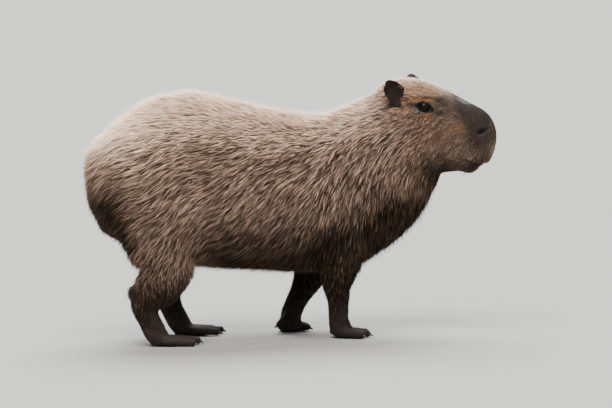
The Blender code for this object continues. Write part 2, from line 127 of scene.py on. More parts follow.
def mesh_from(name, points, faces, smooth=True):
    """A mesh object from an array of points and an array of faces that all have as many corners."""
    mesh = bpy.data.meshes.new(name)
    faces = np.asarray(faces, np.int32)
    count, corners = faces.shape
    mesh.vertices.add(len(points))
    mesh.vertices.foreach_set("co", np.asarray(points, np.float32).ravel())
    mesh.loops.add(count * corners)
    mesh.loops.foreach_set("vertex_index", faces.ravel())
    mesh.polygons.add(count)
    mesh.polygons.foreach_set("loop_start", np.arange(0, count * corners, corners, dtype=np.int32))
    mesh.update(calc_edges=True)
    mesh.polygons.foreach_set("use_smooth", np.full(count, smooth))
    mesh.validate()
    piece = bpy.data.objects.new(name, mesh)
    bpy.context.scene.collection.objects.link(piece)
    return piece


def rows_of(items, field, width, kind=np.int32):
    """One field of a mesh's points, edges or corners, as rows of so many numbers."""
    flat = np.empty(len(items) * width, kind)
    items.foreach_get(field, flat)
    return flat.reshape(-1, width)


def points_of(mesh):
    """The mesh's points as rows."""
    return rows_of(mesh.vertices, "co", 3, np.float32).astype(float)


def triangles_of(mesh):
    """The mesh's triangles as rows of point numbers."""
    mesh.calc_loop_triangles()
    return rows_of(mesh.loop_triangles, "vertices", 3)


def point_normals(points, triangles):
    """At each point, the sum of the cross products of its triangles' sides, made one long."""
    corner = points[triangles]
    cross = np.cross(corner[:, 1] - corner[:, 0], corner[:, 2] - corner[:, 0])
    total = np.zeros_like(points)
    for axis in range(3):
        weights = np.repeat(cross[:, axis], 3)
        total[:, axis] = np.bincount(triangles.ravel(), weights=weights, minlength=len(points))
    return unit(total)


def neighbour_mean(values, edges, count):
    """The mean of each point's neighbours along the edges, for each column of values."""
    ends = np.concatenate((edges, edges[:, ::-1]))
    degree = np.maximum(np.bincount(ends[:, 0], minlength=count), 1)
    columns = [np.bincount(ends[:, 0], weights=values[ends[:, 1], axis], minlength=count) / degree
               for axis in range(values.shape[1])]
    return np.stack(columns, axis=1)


def relaxed(points, edges, share, rounds, firm=0.53):
    """Smoothed points: in each round a step towards the neighbours' mean and a slightly longer one back,
    which takes the facets off and keeps the volume; share says how much of it each point gets."""
    share = np.broadcast_to(np.asarray(share, float).reshape(-1, 1), (len(points), 1))
    for _ in range(rounds):
        points = points + 0.5 * share * (neighbour_mean(points, edges, len(points)) - points)
        if firm:
            points = points - firm * share * (neighbour_mean(points, edges, len(points)) - points)
    return points


def merged(name):
    """A node's points and triangles with its loose corners joined."""
    work = bmesh.new()
    work.from_mesh(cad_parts[name].data)
    bmesh.ops.remove_doubles(work, verts=work.verts, dist=1e-6)
    mesh = bpy.data.meshes.new("merged")
    work.to_mesh(mesh)
    work.free()
    result = points_of(mesh), triangles_of(mesh)
    bpy.data.meshes.remove(mesh)
    return result


def applied(piece):
    """The piece with its modifiers made part of its mesh."""
    graph = bpy.context.evaluated_depsgraph_get()
    mesh = bpy.data.meshes.new_from_object(piece.evaluated_get(graph))
    piece.modifiers.clear()
    old = piece.data
    piece.data = mesh
    bpy.data.meshes.remove(old)
    return piece


def rounded(node, name):
    """A node's solid as a new object, its corners merged and rounded by two subdivisions."""
    piece = mesh_from(name, *merged(node))
    modifier = piece.modifiers.new("round", "SUBSURF")
    modifier.levels = 2
    modifier.render_levels = 2
    return applied(piece)


def joined(parts):
    """Several sets of points and triangles as one."""
    starts = np.cumsum([0] + [len(own) for own, _ in parts[:-1]])
    points = np.concatenate([own for own, _ in parts])
    return points, np.concatenate([rows + start for (_, rows), start in zip(parts, starts)])


def joined_flesh():
    """All solids of flesh but the ears, each grown by a hair so that the cuts close, as one mesh object."""
    solids = [merged(name) for name in FLESH if name not in EARS]
    return mesh_from("skin", *joined([(own + CUT_GROWTH * point_normals(own, rows), rows)
                                      for own, rows in solids]))


def dress(piece, material, slot, *nodes):
    """Gives a piece its material, sets it on the body, and lets it stand for the nodes named; the slot is
    not used.
    """
    piece.data.materials.append(material)
    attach(piece, "root")
    if nodes:
        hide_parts(*nodes)


# Lie of the coat, seen from the side: angles are in degrees below straight back
BODY_LIE = (  # place along the body, height, angle
    (-0.36, 0.60, 8.0), (-0.46, 0.52, 24.0), (-0.50, 0.42, 46.0), (-0.47, 0.32, 40.0),
    (-0.40, 0.46, 22.0), (-0.34, 0.36, 34.0), (-0.32, 0.25, 58.0), (-0.20, 0.60, 4.0),
    (-0.22, 0.48, 16.0), (-0.18, 0.36, 34.0), (-0.18, 0.20, 24.0), (0.00, 0.57, 6.0),
    (-0.02, 0.47, 24.0), (0.00, 0.34, 46.0), (-0.04, 0.20, 30.0), (0.12, 0.56, 16.0),
    (0.12, 0.44, 46.0), (0.11, 0.32, 64.0), (0.12, 0.22, 80.0), (0.21, 0.57, 24.0),
    (0.22, 0.46, 50.0), (0.24, 0.34, 74.0), (0.27, 0.28, 88.0), (0.30, 0.36, 86.0),
)
HEAD_LIE = (  # place forward on the head, height, angle
    (0.00, 0.63, 14.0), (0.08, 0.62, 8.0), (0.16, 0.59, 6.0), (0.23, 0.56, 14.0),
    (0.03, 0.56, 30.0), (0.09, 0.53, 34.0), (0.14, 0.55, 24.0), (0.06, 0.47, 52.0),
    (0.13, 0.48, 50.0), (0.18, 0.51, 40.0), (0.20, 0.46, 66.0), (0.24, 0.47, 86.0),
    (0.10, 0.42, 44.0), (0.18, 0.42, 50.0), (0.05, 0.40, 70.0),
)
LIE_REACH = 0.045
LIMB_LIE = 84.0
FOOT_LIE = 152.0

# Hair lengths, and the coat's depth as a share of them
BODY_HAIR = 0.033
RUMP_HAIR = 0.007  # this and the next two are added to the body's
BELLY_HAIR = -0.006
WITHERS_HAIR = -0.007
CHEEK_HAIR = 0.0165
CROWN_HAIR = -0.004  # added to the cheek's
MUZZLE_HAIR = 0.0050
EYE_HAIR = 0.0042
EAR_HAIR = 0.0050
EAR_FUZZ = 0.0036
LEAST_HAIR = 0.0025
LIMB_HAIR = (  # height, length
    (0.000, 0.0034), (0.040, 0.0056), (0.080, 0.0090), (0.120, 0.0130), (0.180, 0.0175),
    (0.260, 0.0260),
)
BODY_SHARE = 0.42
SHORT_SHARE = 0.28


def head_share(points):
    """0 behind the cut that parts head from neck and 1 ahead of it, turning over about 6 cm."""
    local = to_head(points)
    ahead = (local[:, 0] - 0.022) * 0.867 + (local[:, 2] - 0.522) * 0.498
    return smooth_step(ahead, -0.035, 0.030) * smooth_step(points[:, 0], 0.14, 0.20)


def limb_share(points):
    """1 on the legs below the body, 0 on the trunk between and above them."""
    along, aside, height = points[:, 0], np.abs(points[:, 1]), points[:, 2]
    hind = smooth_step(along, -0.46, -0.43) * smooth_step(-along, 0.155, 0.185)
    fore = smooth_step(along, -0.045, -0.015) * smooth_step(-along, -0.235, -0.205)
    high = smooth_step(-height, -0.245, -0.150) * np.maximum(hind, fore) * smooth_step(aside, 0.025, 0.055)
    return np.maximum(high, smooth_step(-height, -0.146, -0.134))


def near_eye(points):
    """A bell over each eye's surroundings."""
    return sum(bump(points, middle, 0.030) for middle in EYES.values())


def near_ear(points):
    """A bell over each ear's foot and what lies just ahead of it."""
    return np.clip(sum(bump(points, box_middle(name) + 0.012 * HEAD_FORWARD - 0.006 * HEAD_UP, 0.022)
                       for name in EARS), 0, 1)


def on_line(places, line):
    """The value at places of a broken line through pairs of place and value."""
    table = np.array(line)
    return np.interp(places, table[:, 0], table[:, 1])


def hair_length(points):
    """Length of the hair at places on the skin: one rule each for body, head and limbs, blended."""
    along, height = points[:, 0], points[:, 2]
    body = BODY_HAIR + RUMP_HAIR * smooth_step(-along, 0.20, 0.42) * smooth_step(height, 0.30, 0.45)
    body = body + BELLY_HAIR * smooth_step(-height, -0.26, -0.17)
    body = body + WITHERS_HAIR * smooth_step(height, 0.50, 0.57) * smooth_step(along, -0.12, 0.05)
    local = to_head(points)
    head = CHEEK_HAIR + (MUZZLE_HAIR - CHEEK_HAIR) * smooth_step(local[:, 0], 0.015, 0.175)
    head = head + CROWN_HAIR * smooth_step(local[:, 2], 0.56, 0.62)
    head = head + (EYE_HAIR - head) * np.clip(near_eye(points), 0, 1)
    head = head + (EAR_HAIR - head) * near_ear(points)
    length = body + (on_line(height, LIMB_HAIR) - body) * limb_share(points)
    length = np.maximum(length + (head - length) * head_share(points), LEAST_HAIR)
    return np.where(is_ear(points), EAR_FUZZ, length)


def coat_depth(points):
    """How far the skin lies inside the coat's outline: a share of the hair's length, less on short hair."""
    length = hair_length(points)
    share = SHORT_SHARE + (BODY_SHARE - SHORT_SHARE) * smooth_step(length, 0.008, 0.028)
    return share * length


def lie_angle(places, guides):
    """Cosine and sine of the hair's angle at places seen from the side, as the mean of the guides weighed
    by one over their squared distance, squared."""
    table = np.array(guides)
    away = ((places[:, None, :] - table[None, :, :2]) ** 2).sum(axis=2)
    weight = 1.0 / (away + LIE_REACH ** 2) ** 2
    angle = np.radians(table[:, 2])
    total = weight.sum(axis=1)
    return (weight @ np.cos(angle)) / total, (weight @ np.sin(angle)) / total


def coat_lie(points, normals):
    """Direction of the hair along the skin: the blend of the body's, the head's and the limbs' lie, less
    its part along the normal."""
    back, down = lie_angle(points[:, (0, 2)], BODY_LIE)
    body = np.stack((-back, np.zeros_like(back), -down), axis=1)
    back, down = lie_angle(to_head(points)[:, (0, 2)], HEAD_LIE)
    head = -back[:, None] * HEAD_FORWARD - down[:, None] * HEAD_UP
    on_foot = smooth_step(-points[:, 2], -0.062, -0.030)[:, None]
    angle = np.radians(LIMB_LIE + (FOOT_LIE - LIMB_LIE) * on_foot)
    limb = np.concatenate((-np.cos(angle), np.zeros_like(angle), -np.sin(angle)), axis=1)
    low = limb_share(points)[:, None]
    lie = body + (limb - body) * low
    lie = lie + (head - lie) * head_share(points)[:, None]
    lie = lie - (lie * normals).sum(axis=1, keepdims=True) * normals
    return unit(lie + 1e-6)


# Skin: share of its facets left on the trunk, and the features of the muzzle
TRUNK_KEPT = 0.30
NOSTRIL_AT = (0.231, 0.041, 0.5125)
MOUTH_LINE = (  # place forward, height
    (0.150, 0.451), (0.170, 0.448), (0.190, 0.4437), (0.206, 0.437), (0.222, 0.4290), (0.260, 0.4275),
)
EYE_DIVIDED = (0.034, 0.030)  # reach of each round of halving the skin's edges
NOSTRIL_DIVIDED = (0.026, 0.020)


def vertex_group(piece, name, weights):
    """A named group on the piece; the weights are rounded to tenths so that few calls fill it."""
    group = piece.vertex_groups.new(name=name)
    tenths = np.round(np.asarray(weights) * 10).astype(int)
    for step in range(1, 11):
        members = np.nonzero(tenths == step)[0]
        if len(members):
            group.add(members.tolist(), step / 10, "REPLACE")


def divided(piece, chosen):
    """Halves each edge of the piece whose ends are both chosen."""
    work = bmesh.new()
    work.from_mesh(piece.data)
    work.verts.ensure_lookup_table()
    edges = [edge for edge in work.edges if chosen[edge.verts[0].index] and chosen[edge.verts[1].index]]
    bmesh.ops.subdivide_edges(work, edges=edges, cuts=1, use_grid_fill=True)
    bmesh.ops.triangulate(work, faces=work.faces)
    work.to_mesh(piece.data)
    work.free()


def near_any(points, middles, reach):
    """True within reach of one of the middles."""
    return np.any([np.linalg.norm(points - middle, axis=1) < reach for middle in middles], axis=0)


# Eye opening
EYE_OPENING = 0.0225  # half its width
EYE_SHIFT = 0.0030  # how far forward of the eye its middle lies
UPPER_LID = 0.0090  # height of the upper lid's edge over the eye's middle
LOWER_LID = 0.0078  # depth of the lower lid's edge under it
EYE_TILT = radians(-13.0)
LID_WALL = 0.0022
LID_RIM = 0.0009  # radius of the moist rim
CORNEA = 0.045  # rise of the cornea, as a share of the eye's radius
EYE_INSET = 0.0004  # how far the eyeball's surface lies inside its solid's
EYE_LOOK = {side: unit(sign * HEAD_ASIDE + 0.22 * HEAD_FORWARD + 0.04 * HEAD_UP)
            for side, sign in SIDES}


def eye_frame(side):
    """Forward and upward directions across an eye's look, turned by the opening's tilt."""
    look = EYE_LOOK[side]
    forward = unit(HEAD_FORWARD - (HEAD_FORWARD @ look) * look)
    upward = np.cross(forward, look)
    upward = upward * np.sign(upward[2])
    tilted = cos(EYE_TILT) * forward + sin(EYE_TILT) * upward
    return tilted, cos(EYE_TILT) * upward - sin(EYE_TILT) * forward


def lid_edges(forward):
    """Heights of the upper and the lower lid's edge across the opening: 1 - t t, raised to 0.8 above."""
    t = np.clip(np.abs(forward) / EYE_OPENING, 0, 1)
    return UPPER_LID * (1 - t ** 2) ** 0.8, -LOWER_LID * (1 - t ** 2)


def beyond_lids(points, side):
    """How far points lie outside the eye's opening, seen along its look, and how far before the eye."""
    away = points - EYES[side]
    forward, upward = eye_frame(side)
    ahead, above = away @ forward - EYE_SHIFT, away @ upward
    upper, lower = lid_edges(ahead)
    past = np.maximum(np.maximum(above - upper, lower - above), np.abs(ahead) - EYE_OPENING)
    return past, away @ EYE_LOOK[side]


def brow_gap(local):
    """Height over the brow's crease, an arch over the eye, and how near the places are to the brow."""
    along, rise = local[:, 0] - EYE_FORWARD, local[:, 2] - float(HEAD_MIDDLE[2])
    near = np.exp(-((along - 0.006) / 0.026) ** 2) * smooth_step(np.abs(local[:, 1]), 0.020, 0.040)
    return rise - (0.0225 - 10.0 * (along - 0.004) ** 2), near


def eye_line(points):
    """The dark, bare skin along the lids and at the corners of the eyes."""
    total = np.zeros(len(points))
    for side in EYES:
        past, out = beyond_lids(points, side)
        total = total + smooth_step(-past, -0.0066, -0.0034) * (out > -0.004)
    return total


# Bare places on the head: the gland on top of the muzzle, and the skin round the nostrils
GLAND = ((0.176, 0.000, 0.584), (0.026, 0.019, 0.014))
NOSTRIL_SKIN = (0.013, 0.018, 0.011)


def folded(local):
    """Places on the head with its right half laid on its left."""
    return np.stack((local[:, 0], np.abs(local[:, 1]), local[:, 2]), axis=1)


def bare_share(points):
    """1 where no hair grows: on the muzzle's gland, round the nostrils and along the lids."""
    local = folded(to_head(points))
    gland = smooth_step(bump(local, *GLAND), 0.25, 0.55)
    nostril = smooth_step(bump(local, NOSTRIL_AT, NOSTRIL_SKIN), 0.25, 0.60)
    return np.clip(np.maximum(gland, nostril) * head_share(points) + eye_line(points), 0, 1)


def with_lids(points, side):
    """The skin round an eye: inside the opening it lies behind the eyeball, next to it the lids lie on the
    ball with their own thickness, and from there it blends into the face."""
    middle, radius, look = EYES[side], EYE_RADIUS[side], EYE_LOOK[side]
    forward, upward = eye_frame(side)
    away = points - middle
    out, ahead, above = away @ look, away @ forward, away @ upward
    beyond, _ = beyond_lids(points, side)
    flat = np.hypot(ahead, above)
    front = (out > 0.0) & (flat < 0.045)
    ball = np.sqrt(np.maximum((radius + LID_WALL) ** 2 - flat ** 2, 0.0))
    lid = np.maximum(ball, out - 0.004)
    near = 1 - smooth_step(beyond, 0.0025, 0.012)
    new_out = out + (np.where(flat < radius, lid, out) - out) * near
    inner = np.sqrt(np.maximum((radius - 0.0035) ** 2 - np.minimum(flat, radius) ** 2, 0.0)) - 0.001
    inner = np.where(flat > 0.93 * radius, np.maximum(inner, out - 0.0045), inner)
    new_out = np.where(beyond < 0, np.minimum(inner, new_out), new_out)
    moved = points + (new_out - out)[:, None] * look
    return np.where(front[:, None], moved, points)


def groove(distance, width):
    """A crease: 1 in its middle, falling as a bell."""
    return np.exp(-(distance / width) ** 2)


# Folds of the head, across their line: height of each swell, or of a groove below zero, its place and width
MOUTH_FOLDS = ((-0.0042, 0.0, 0.0022), (0.0016, 0.007, 0.0045), (0.0012, -0.006, 0.0040))
CLEFT_FOLDS = ((-0.0030, 0.0, 0.0024), (0.0012, 0.008, 0.006))
BROW_FOLDS = ((-0.0017, 0.0, 0.0020), (0.0020, 0.0050, 0.0038), (0.0012, -0.0045, 0.0030))
CHEEK_FOLDS = ((-0.0013, 0.0, 0.0018), (0.0012, -0.0045, 0.0034))
NOSTRIL_DEPTH = 0.0145
NOSTRIL_RIMS = (0.0026, 0.0014)  # height of the one above and the one below
NOSTRIL_NOTCH = 0.0020
GLAND_RISE = 0.0022
CHEEK_RISE = 0.0030


def folds(distance, profile):
    """Grooves and swells along a line: the sum of bells across it."""
    return sum(height * groove(distance - place, width) for height, place, width in profile)


def nostril_form(along, rise):
    """The nostril about its middle: a slanting, curved pit with a rim above and one below."""
    slit = along * 0.80 + rise * 0.60
    across = -along * 0.60 + rise * 0.80 + 11.0 * slit ** 2
    pit = np.exp(-(slit / 0.0125) ** 2 - (across / 0.0062) ** 2)
    above = np.exp(-(slit / 0.0165) ** 2 - ((across - 0.0106) / 0.0044) ** 2)
    below = np.exp(-(slit / 0.0145) ** 2 - ((across + 0.0102) / 0.0040) ** 2)
    return -NOSTRIL_DEPTH * pit + NOSTRIL_RIMS[0] * above + NOSTRIL_RIMS[1] * below


def sculpted_head(points, triangles):
    """Adds mouth, lip's cleft, nostrils, gland, brow and cheek to the skin by moving its points along their
    normals, and then the lids."""
    normals = point_normals(points, triangles)
    local = to_head(points)
    forward, side, height = local[:, 0], np.abs(local[:, 1]), local[:, 2]
    share = head_share(points)
    move = np.zeros(len(points))
    lips = smooth_step(forward, 0.160, 0.198)
    move += share * lips * folds(height - on_line(forward, MOUTH_LINE), MOUTH_FOLDS)
    cleft = smooth_step(forward, 0.215, 0.235) * smooth_step(height, 0.428, 0.440)
    cleft = cleft * smooth_step(-height, -0.520, -0.505)
    move += share * cleft * folds(side, CLEFT_FOLDS)
    along, rise = forward - NOSTRIL_AT[0], height - NOSTRIL_AT[2]
    on_side = smooth_step(side, 0.018, 0.028) * share * smooth_step(NOSTRIL_AT[1] - side, -0.020, 0.012)
    move += on_side * nostril_form(along, rise)
    notch = np.exp(-((along + 0.0105) / 0.0030) ** 2 - ((rise + 0.010) / 0.0080) ** 2)
    move += -NOSTRIL_NOTCH * on_side * notch
    gland = np.exp(-((forward - 0.172) / 0.030) ** 2 - (side / 0.020) ** 2)
    move += GLAND_RISE * share * (gland * smooth_step(height, 0.555, 0.575))
    crease, near = brow_gap(local)
    move += near * share * folds(crease, BROW_FOLDS)
    eye_along, eye_up = forward - EYE_FORWARD, height - float(HEAD_MIDDLE[2])
    under = eye_up + (0.0165 - 9.0 * (eye_along - 0.002) ** 2)
    move += near * share * folds(under, CHEEK_FOLDS)
    cheek = np.exp(-((forward - 0.060) / 0.050) ** 2 - ((height - 0.485) / 0.045) ** 2)
    move += CHEEK_RISE * share * cheek * smooth_step(side, 0.03, 0.06)
    points = points + move[:, None] * normals
    for name in EYES:
        points = with_lids(points, name)
    return points


def ear_shell(name):
    """An ear's rounded solid in its leaf shape, as points and triangles."""
    piece = rounded(name, "ear")
    points, rows = points_of(piece.data), triangles_of(piece.data)
    bpy.data.objects.remove(piece)
    return ear_outline(points, name), rows


def ear_outline(points, name):
    """The ear's leaf shape: its upper edge falls towards the front, its upper half is drawn forward to a
    corner, and it narrows to its foot; a shallow notch sets off the top from the rear edge."""
    low, high = (np.array(corner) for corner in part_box(name))
    middle = (low + high) / 2
    half = (high[2] - low[2]) / 2
    away = points - middle
    ahead = (away @ HEAD_FORWARD) / half
    rise = away[:, 2] / half
    upper = smooth_step(rise, -0.35, 0.55)
    forward = upper * (0.16 * half) * smooth_step(ahead, -0.2, 0.6)
    narrow = -0.34 * ahead * half * smooth_step(-rise, 0.05, 0.95)
    drop = -0.30 * half * smooth_step(rise, 0.1, 0.9) * smooth_step(ahead, -0.45, 0.65)
    notch = 0.10 * half * np.exp(-((rise - 0.52) / 0.14) ** 2) * smooth_step(-ahead, 0.25, 0.6)
    shift = (forward + narrow + notch)[:, None] * HEAD_FORWARD + drop[:, None] * HEAD_UP
    outward = 1.0 if middle[1] > 0 else -1.0
    face = smooth_step((away @ HEAD_ASIDE) * outward, -0.001, 0.003)
    hollow = np.exp(-((ahead - 0.05) / 0.52) ** 2 - ((rise + 0.05) / 0.62) ** 2)
    fold = np.exp(-((ahead + 0.30 * rise + 0.10) / 0.13) ** 2) * smooth_step(-np.abs(rise), -0.6, -0.2)
    shift = shift + (face * (0.0034 * fold - 0.0062 * hollow) * outward)[:, None] * HEAD_ASIDE
    return points + shift


def skin_piece():
    """One skin for all the flesh: the solids remeshed as one form, smoothed, drawn in by the coat's depth,
    thinned where the coat hides it, divided where the face needs it, sculpted, and joined by the ears."""
    piece = joined_flesh()
    remesh = piece.modifiers.new("remesh", "REMESH")
    remesh.mode = "VOXEL"
    remesh.voxel_size = SKIN_FACET
    remesh.adaptivity = 0.0
    applied(piece)
    points, rows = points_of(piece.data), triangles_of(piece.data)
    edges = rows_of(piece.data.edges, "vertices", 2)
    low = smooth_step(-points[:, 2], -0.090, -0.045)
    points = relaxed(points, edges, 1.0 - 0.72 * low, SKIN_ROUNDS)
    points = relaxed(points, edges, 0.5 * (1 - low), 3, firm=0.0)
    normals = point_normals(points, rows)
    normals = unit(relaxed(normals, edges, 1.0, 3, firm=0.0))
    points = points - coat_depth(points)[:, None] * normals
    points = relaxed(points, edges, 0.6 * (1 - low), 5, firm=0.0)
    piece.data.vertices.foreach_set("co", points.astype(np.float32).ravel())
    piece.data.update()
    vertex_group(piece, "hidden", (1 - head_share(points)) * (1 - limb_share(points)))
    thin = piece.modifiers.new("thin", "DECIMATE")
    thin.ratio = TRUNK_KEPT
    thin.vertex_group = "hidden"
    thin.vertex_group_factor = 10.0
    applied(piece)
    piece.vertex_groups.clear()
    for reach in EYE_DIVIDED:
        divided(piece, near_any(points_of(piece.data), EYES.values(), reach))
    divided(piece, at_lids(points_of(piece.data)))
    nostrils = [from_head((NOSTRIL_AT[0], sign * NOSTRIL_AT[1], NOSTRIL_AT[2])) for _, sign in SIDES]
    for reach in NOSTRIL_DIVIDED:
        divided(piece, near_any(points_of(piece.data), nostrils, reach))
    divided(piece, near_mouth(points_of(piece.data)))
    rows = triangles_of(piece.data)
    head = sculpted_head(points_of(piece.data), rows), rows
    bpy.data.objects.remove(piece)
    return mesh_from("skin", *joined([head] + [ear_shell(name) for name in EARS]))


def at_lids(points):
    """True along the lids' edges."""
    near = np.zeros(len(points), bool)
    for side in EYES:
        past, out = beyond_lids(points, side)
        near |= (np.abs(past) < 0.0042) & (out > 0)
    return near


def near_mouth(points):
    """True next to the mouth's line and on the front of the upper lip."""
    local = to_head(points)
    line = np.abs(local[:, 2] - on_line(local[:, 0], MOUTH_LINE)) < 0.012
    lip = (np.abs(local[:, 1]) < 0.012) & (local[:, 2] < 0.52) & (local[:, 0] > 0.20)
    return (local[:, 0] > 0.140) & (line | lip) & (local[:, 2] > 0.40)


# Markings on the head, some of them painted light and shade: each spot is a bell's middle, its reach and
# its strength
MUZZLE_EDGE = (  # height, and the place forward where the dark muzzle begins
    (0.440, 0.212), (0.480, 0.203), (0.498, 0.198), (0.530, 0.190), (0.550, 0.172), (0.604, 0.145),
)
DARK_ON_HEAD = (
    ((0.128, 0.054, 0.561), (0.016, 0.020, 0.007), 0.7),
    ((0.064, 0.062, 0.580), (0.014, 0.020, 0.005), 0.5),
    ((0.124, 0.045, 0.592), (0.014, 0.020, 0.007), 0.75),
    ((0.150, 0.000, 0.400), (0.080, 0.060, 0.038), 0.78),
    # Painted shade in the nostril's pit.
    ((0.231, 0.041, 0.5115), (0.018, 0.020, 0.016), 1.05),
    ((0.140, 0.040, 0.580), (0.026, 0.030, 0.016), 0.45),
    ((0.218, 0.030, 0.425), (0.030, 0.035, 0.016), 0.85),
)
WARM_ON_HEAD = (
    ((0.097, 0.055, 0.593), (0.024, 0.020, 0.007), 1.1),
    ((0.101, 0.064, 0.552), (0.013, 0.020, 0.008), 0.9),
    ((0.050, 0.060, 0.590), (0.040, 0.040, 0.030), 0.30),
    ((0.176, 0.050, 0.525), (0.016, 0.020, 0.018), 0.42),
    ((0.080, 0.020, 0.618), (0.060, 0.040, 0.020), 0.70),
    ((0.130, 0.060, 0.510), (0.050, 0.040, 0.045), 0.22),
)
PALE_ON_HEAD = (
    # Painted highlight: the pale rim of light along the front of the upper lip.
    ((0.256, 0.000, 0.466), (0.014, 0.030, 0.030), 1.1),
    # The crown: its own pale colour with painted light from above.
    ((0.075, 0.000, 0.634), (0.060, 0.060, 0.027), 1.25),
    ((0.122, 0.000, 0.614), (0.028, 0.035, 0.015), 0.75),
)


def two_sided(local, spots):
    """The sum of bells that stand on both sides of the head."""
    return sum(strength * bump(folded(local), middle, reach) for middle, reach, strength in spots)


def trunk_marks_and_light(points, up):
    """Pale and dark shares on the trunk: pale on the back, partly painted light from above; dark below,
    partly painted shade, on the rump's end and the chest.
    """
    along, height = points[:, 0], points[:, 2]
    # Painted light on top of the back's own paler hair: paler with height, most where the skin faces up,
    # and more on the rump's top.
    pale = smooth_step(height, 0.42, 0.60) * (0.15 + 0.85 * smooth_step(up, 0.15, 0.85))
    pale = pale * (1 - 0.40 * smooth_step(along, 0.12, 0.24))
    pale = pale + 0.30 * smooth_step(-along, 0.25, 0.45) * smooth_step(height, 0.38, 0.50)
    thigh = smooth_step(-along, 0.17, 0.25) * smooth_step(along, -0.46, -0.38)
    # Dark below, on the chest and between the fore legs: partly the underside's own darker hair, partly
    # painted shade under the body; the rump's end is darker too.
    dark = smooth_step(-height, -0.430, -0.190) * (1 - 0.55 * thigh)
    dark = dark + 1.00 * smooth_step(-along, 0.350, 0.460) * smooth_step(-height, -0.530, -0.350)
    dark = dark + 0.66 * smooth_step(along, 0.14, 0.26) * smooth_step(-height, -0.46, -0.32)
    dark = dark + 0.16 * smooth_step(along, 0.02, 0.14) * smooth_step(-height, -0.60, -0.44)
    dark = dark + 0.35 * smooth_step(along, 0.02, 0.10) * smooth_step(-height, -0.34, -0.25)
    return pale, dark


def limb_dark(points):
    """Dark share on the legs: more on the fore legs and downwards, less on the feet."""
    height = points[:, 2]
    fore = smooth_step(points[:, 0], -0.06, 0.0)
    dark = 0.50 + 0.48 * fore + (0.42 + 0.06 * fore) * smooth_step(-height, -0.200, -0.110)
    return dark - (0.16 + 0.20 * fore) * smooth_step(-height, -0.060, -0.025)


def head_marks_and_light(points, up):
    """Pale, dark and warm shares on the head: a dark muzzle with a wavy edge, painted shade in the crease
    over the eye and in the nostrils, dark lids and throat, a pale crown partly painted light from above,
    and warm patches round the eye."""
    local = to_head(points)
    forward, height = local[:, 0], local[:, 2]
    ahead = forward - on_line(height, MUZZLE_EDGE) + 0.0050 * waves(points, 0.018, 29)
    muzzle = smooth_step(ahead, -0.016, 0.018) * (0.60 + 0.22 * smooth_step(height, 0.465, 0.505))
    crease, near = brow_gap(local)
    line = np.clip(eye_line(points), 0, 1)
    dark = np.maximum(two_sided(local, DARK_ON_HEAD), muzzle)
    # Painted shade: dark along the crease over the eye.
    dark = np.maximum(dark, 0.85 * near * groove(crease, 0.0030))
    dark = np.maximum(dark, line)
    dark = dark + 0.80 * smooth_step(-height, -0.480, -0.425) * smooth_step(-forward, -0.20, -0.10)
    # Painted light from above: paler where the head's skin faces up, behind the muzzle.
    pale = 0.30 * smooth_step(up, 0.35, 0.9) * smooth_step(-forward, -0.12, -0.04)
    pale = pale + two_sided(local, PALE_ON_HEAD)
    return pale, dark, two_sided(local, WARM_ON_HEAD) * (1 - line)


def ear_dark(points):
    """Dark share on the ears: a little less in their middles."""
    return 0.980 - sum(0.11 * bump(points, box_middle(name), 0.012) for name in EARS)


def markings_and_light(points, up):
    """Pale, dark and warm shares of the hair's colour, and the bare share, at places on the skin; up is the
    normal's height.  The pale and dark shares hold painted light from above and painted shade besides the
    coat's own markings."""
    head, low, on_ear = head_share(points), limb_share(points), is_ear(points)
    pale, dark = trunk_marks_and_light(points, up)
    pale = pale * (1 - low)
    dark = dark + (limb_dark(points) - dark) * low
    head_pale, head_dark, head_warm = head_marks_and_light(points, up)
    pale = np.where(on_ear, 0.0, pale + (head_pale - pale) * head)
    dark = np.where(on_ear, ear_dark(points), dark + (head_dark - dark) * head)
    warm = np.where(on_ear, 0.10, head * head_warm)
    bare = np.where(on_ear, 0.25, bare_share(points))
    return np.clip(np.stack((pale, dark, warm, bare), axis=1), 0, 1)


def give_values(mesh, name, values):
    """A colour attribute on the points with up to four shares."""
    full = np.ones((len(mesh.vertices), 4), np.float32)
    full[:, :values.shape[1]] = values
    layer = mesh.attributes.new(name, "FLOAT_COLOR", "POINT")
    layer.data.foreach_set("color", full.ravel())


def hashed(cells, salt):
    """A number from 0 to 1 for each row of whole numbers, from products with primes, the same each run."""
    mixed = (cells[:, 0] * 73856093) ^ (cells[:, 1] * 19349663) ^ (cells[:, 2] * 83492791)
    mixed = mixed ^ (salt * 2654435761)
    mixed = (mixed ^ (mixed >> 13)) * 1274126177 & 0xFFFFFFFF
    return ((mixed ^ (mixed >> 16)) & 0xFFFFFF) / float(0x1000000)


def waves(points, scale, salt):
    """A slow, irregular swell from -1 to 1: three sine waves in turned directions."""
    turn = np.random.default_rng(salt).normal(size=(3, 3))
    turn = unit(turn) * (2 * pi / scale)
    return np.sin(points @ turn.T + np.arange(3) * 2.1 + salt).sum(axis=1) / 3


# Tufts
CLUMP = 0.55  # size of a lock's cell, as a share of the hair's length
GUARD_SHARE = 0.34  # share of tufts that are long, bent guard hairs
ROOT_SINK = 0.0012  # depth of the root under the skin
PATCH = 0.003  # side of a tuft's patch on the unwrap
THINNEST = 0.0011
LEAST_LOCK = 0.004
LOCK_PULL = 0.16
STREAK_WIDTH = 0.0034  # on hair as long as the body's
STREAK_REACH = 1.15  # each way, as a share of the hair's length
STREAK_STEPS = 13
STREAK_GAIN = 24.0
LEG_FROM = 0.55  # share of limb from which the coat is the leg's
SOLE = 0.012  # height under which no hair grows


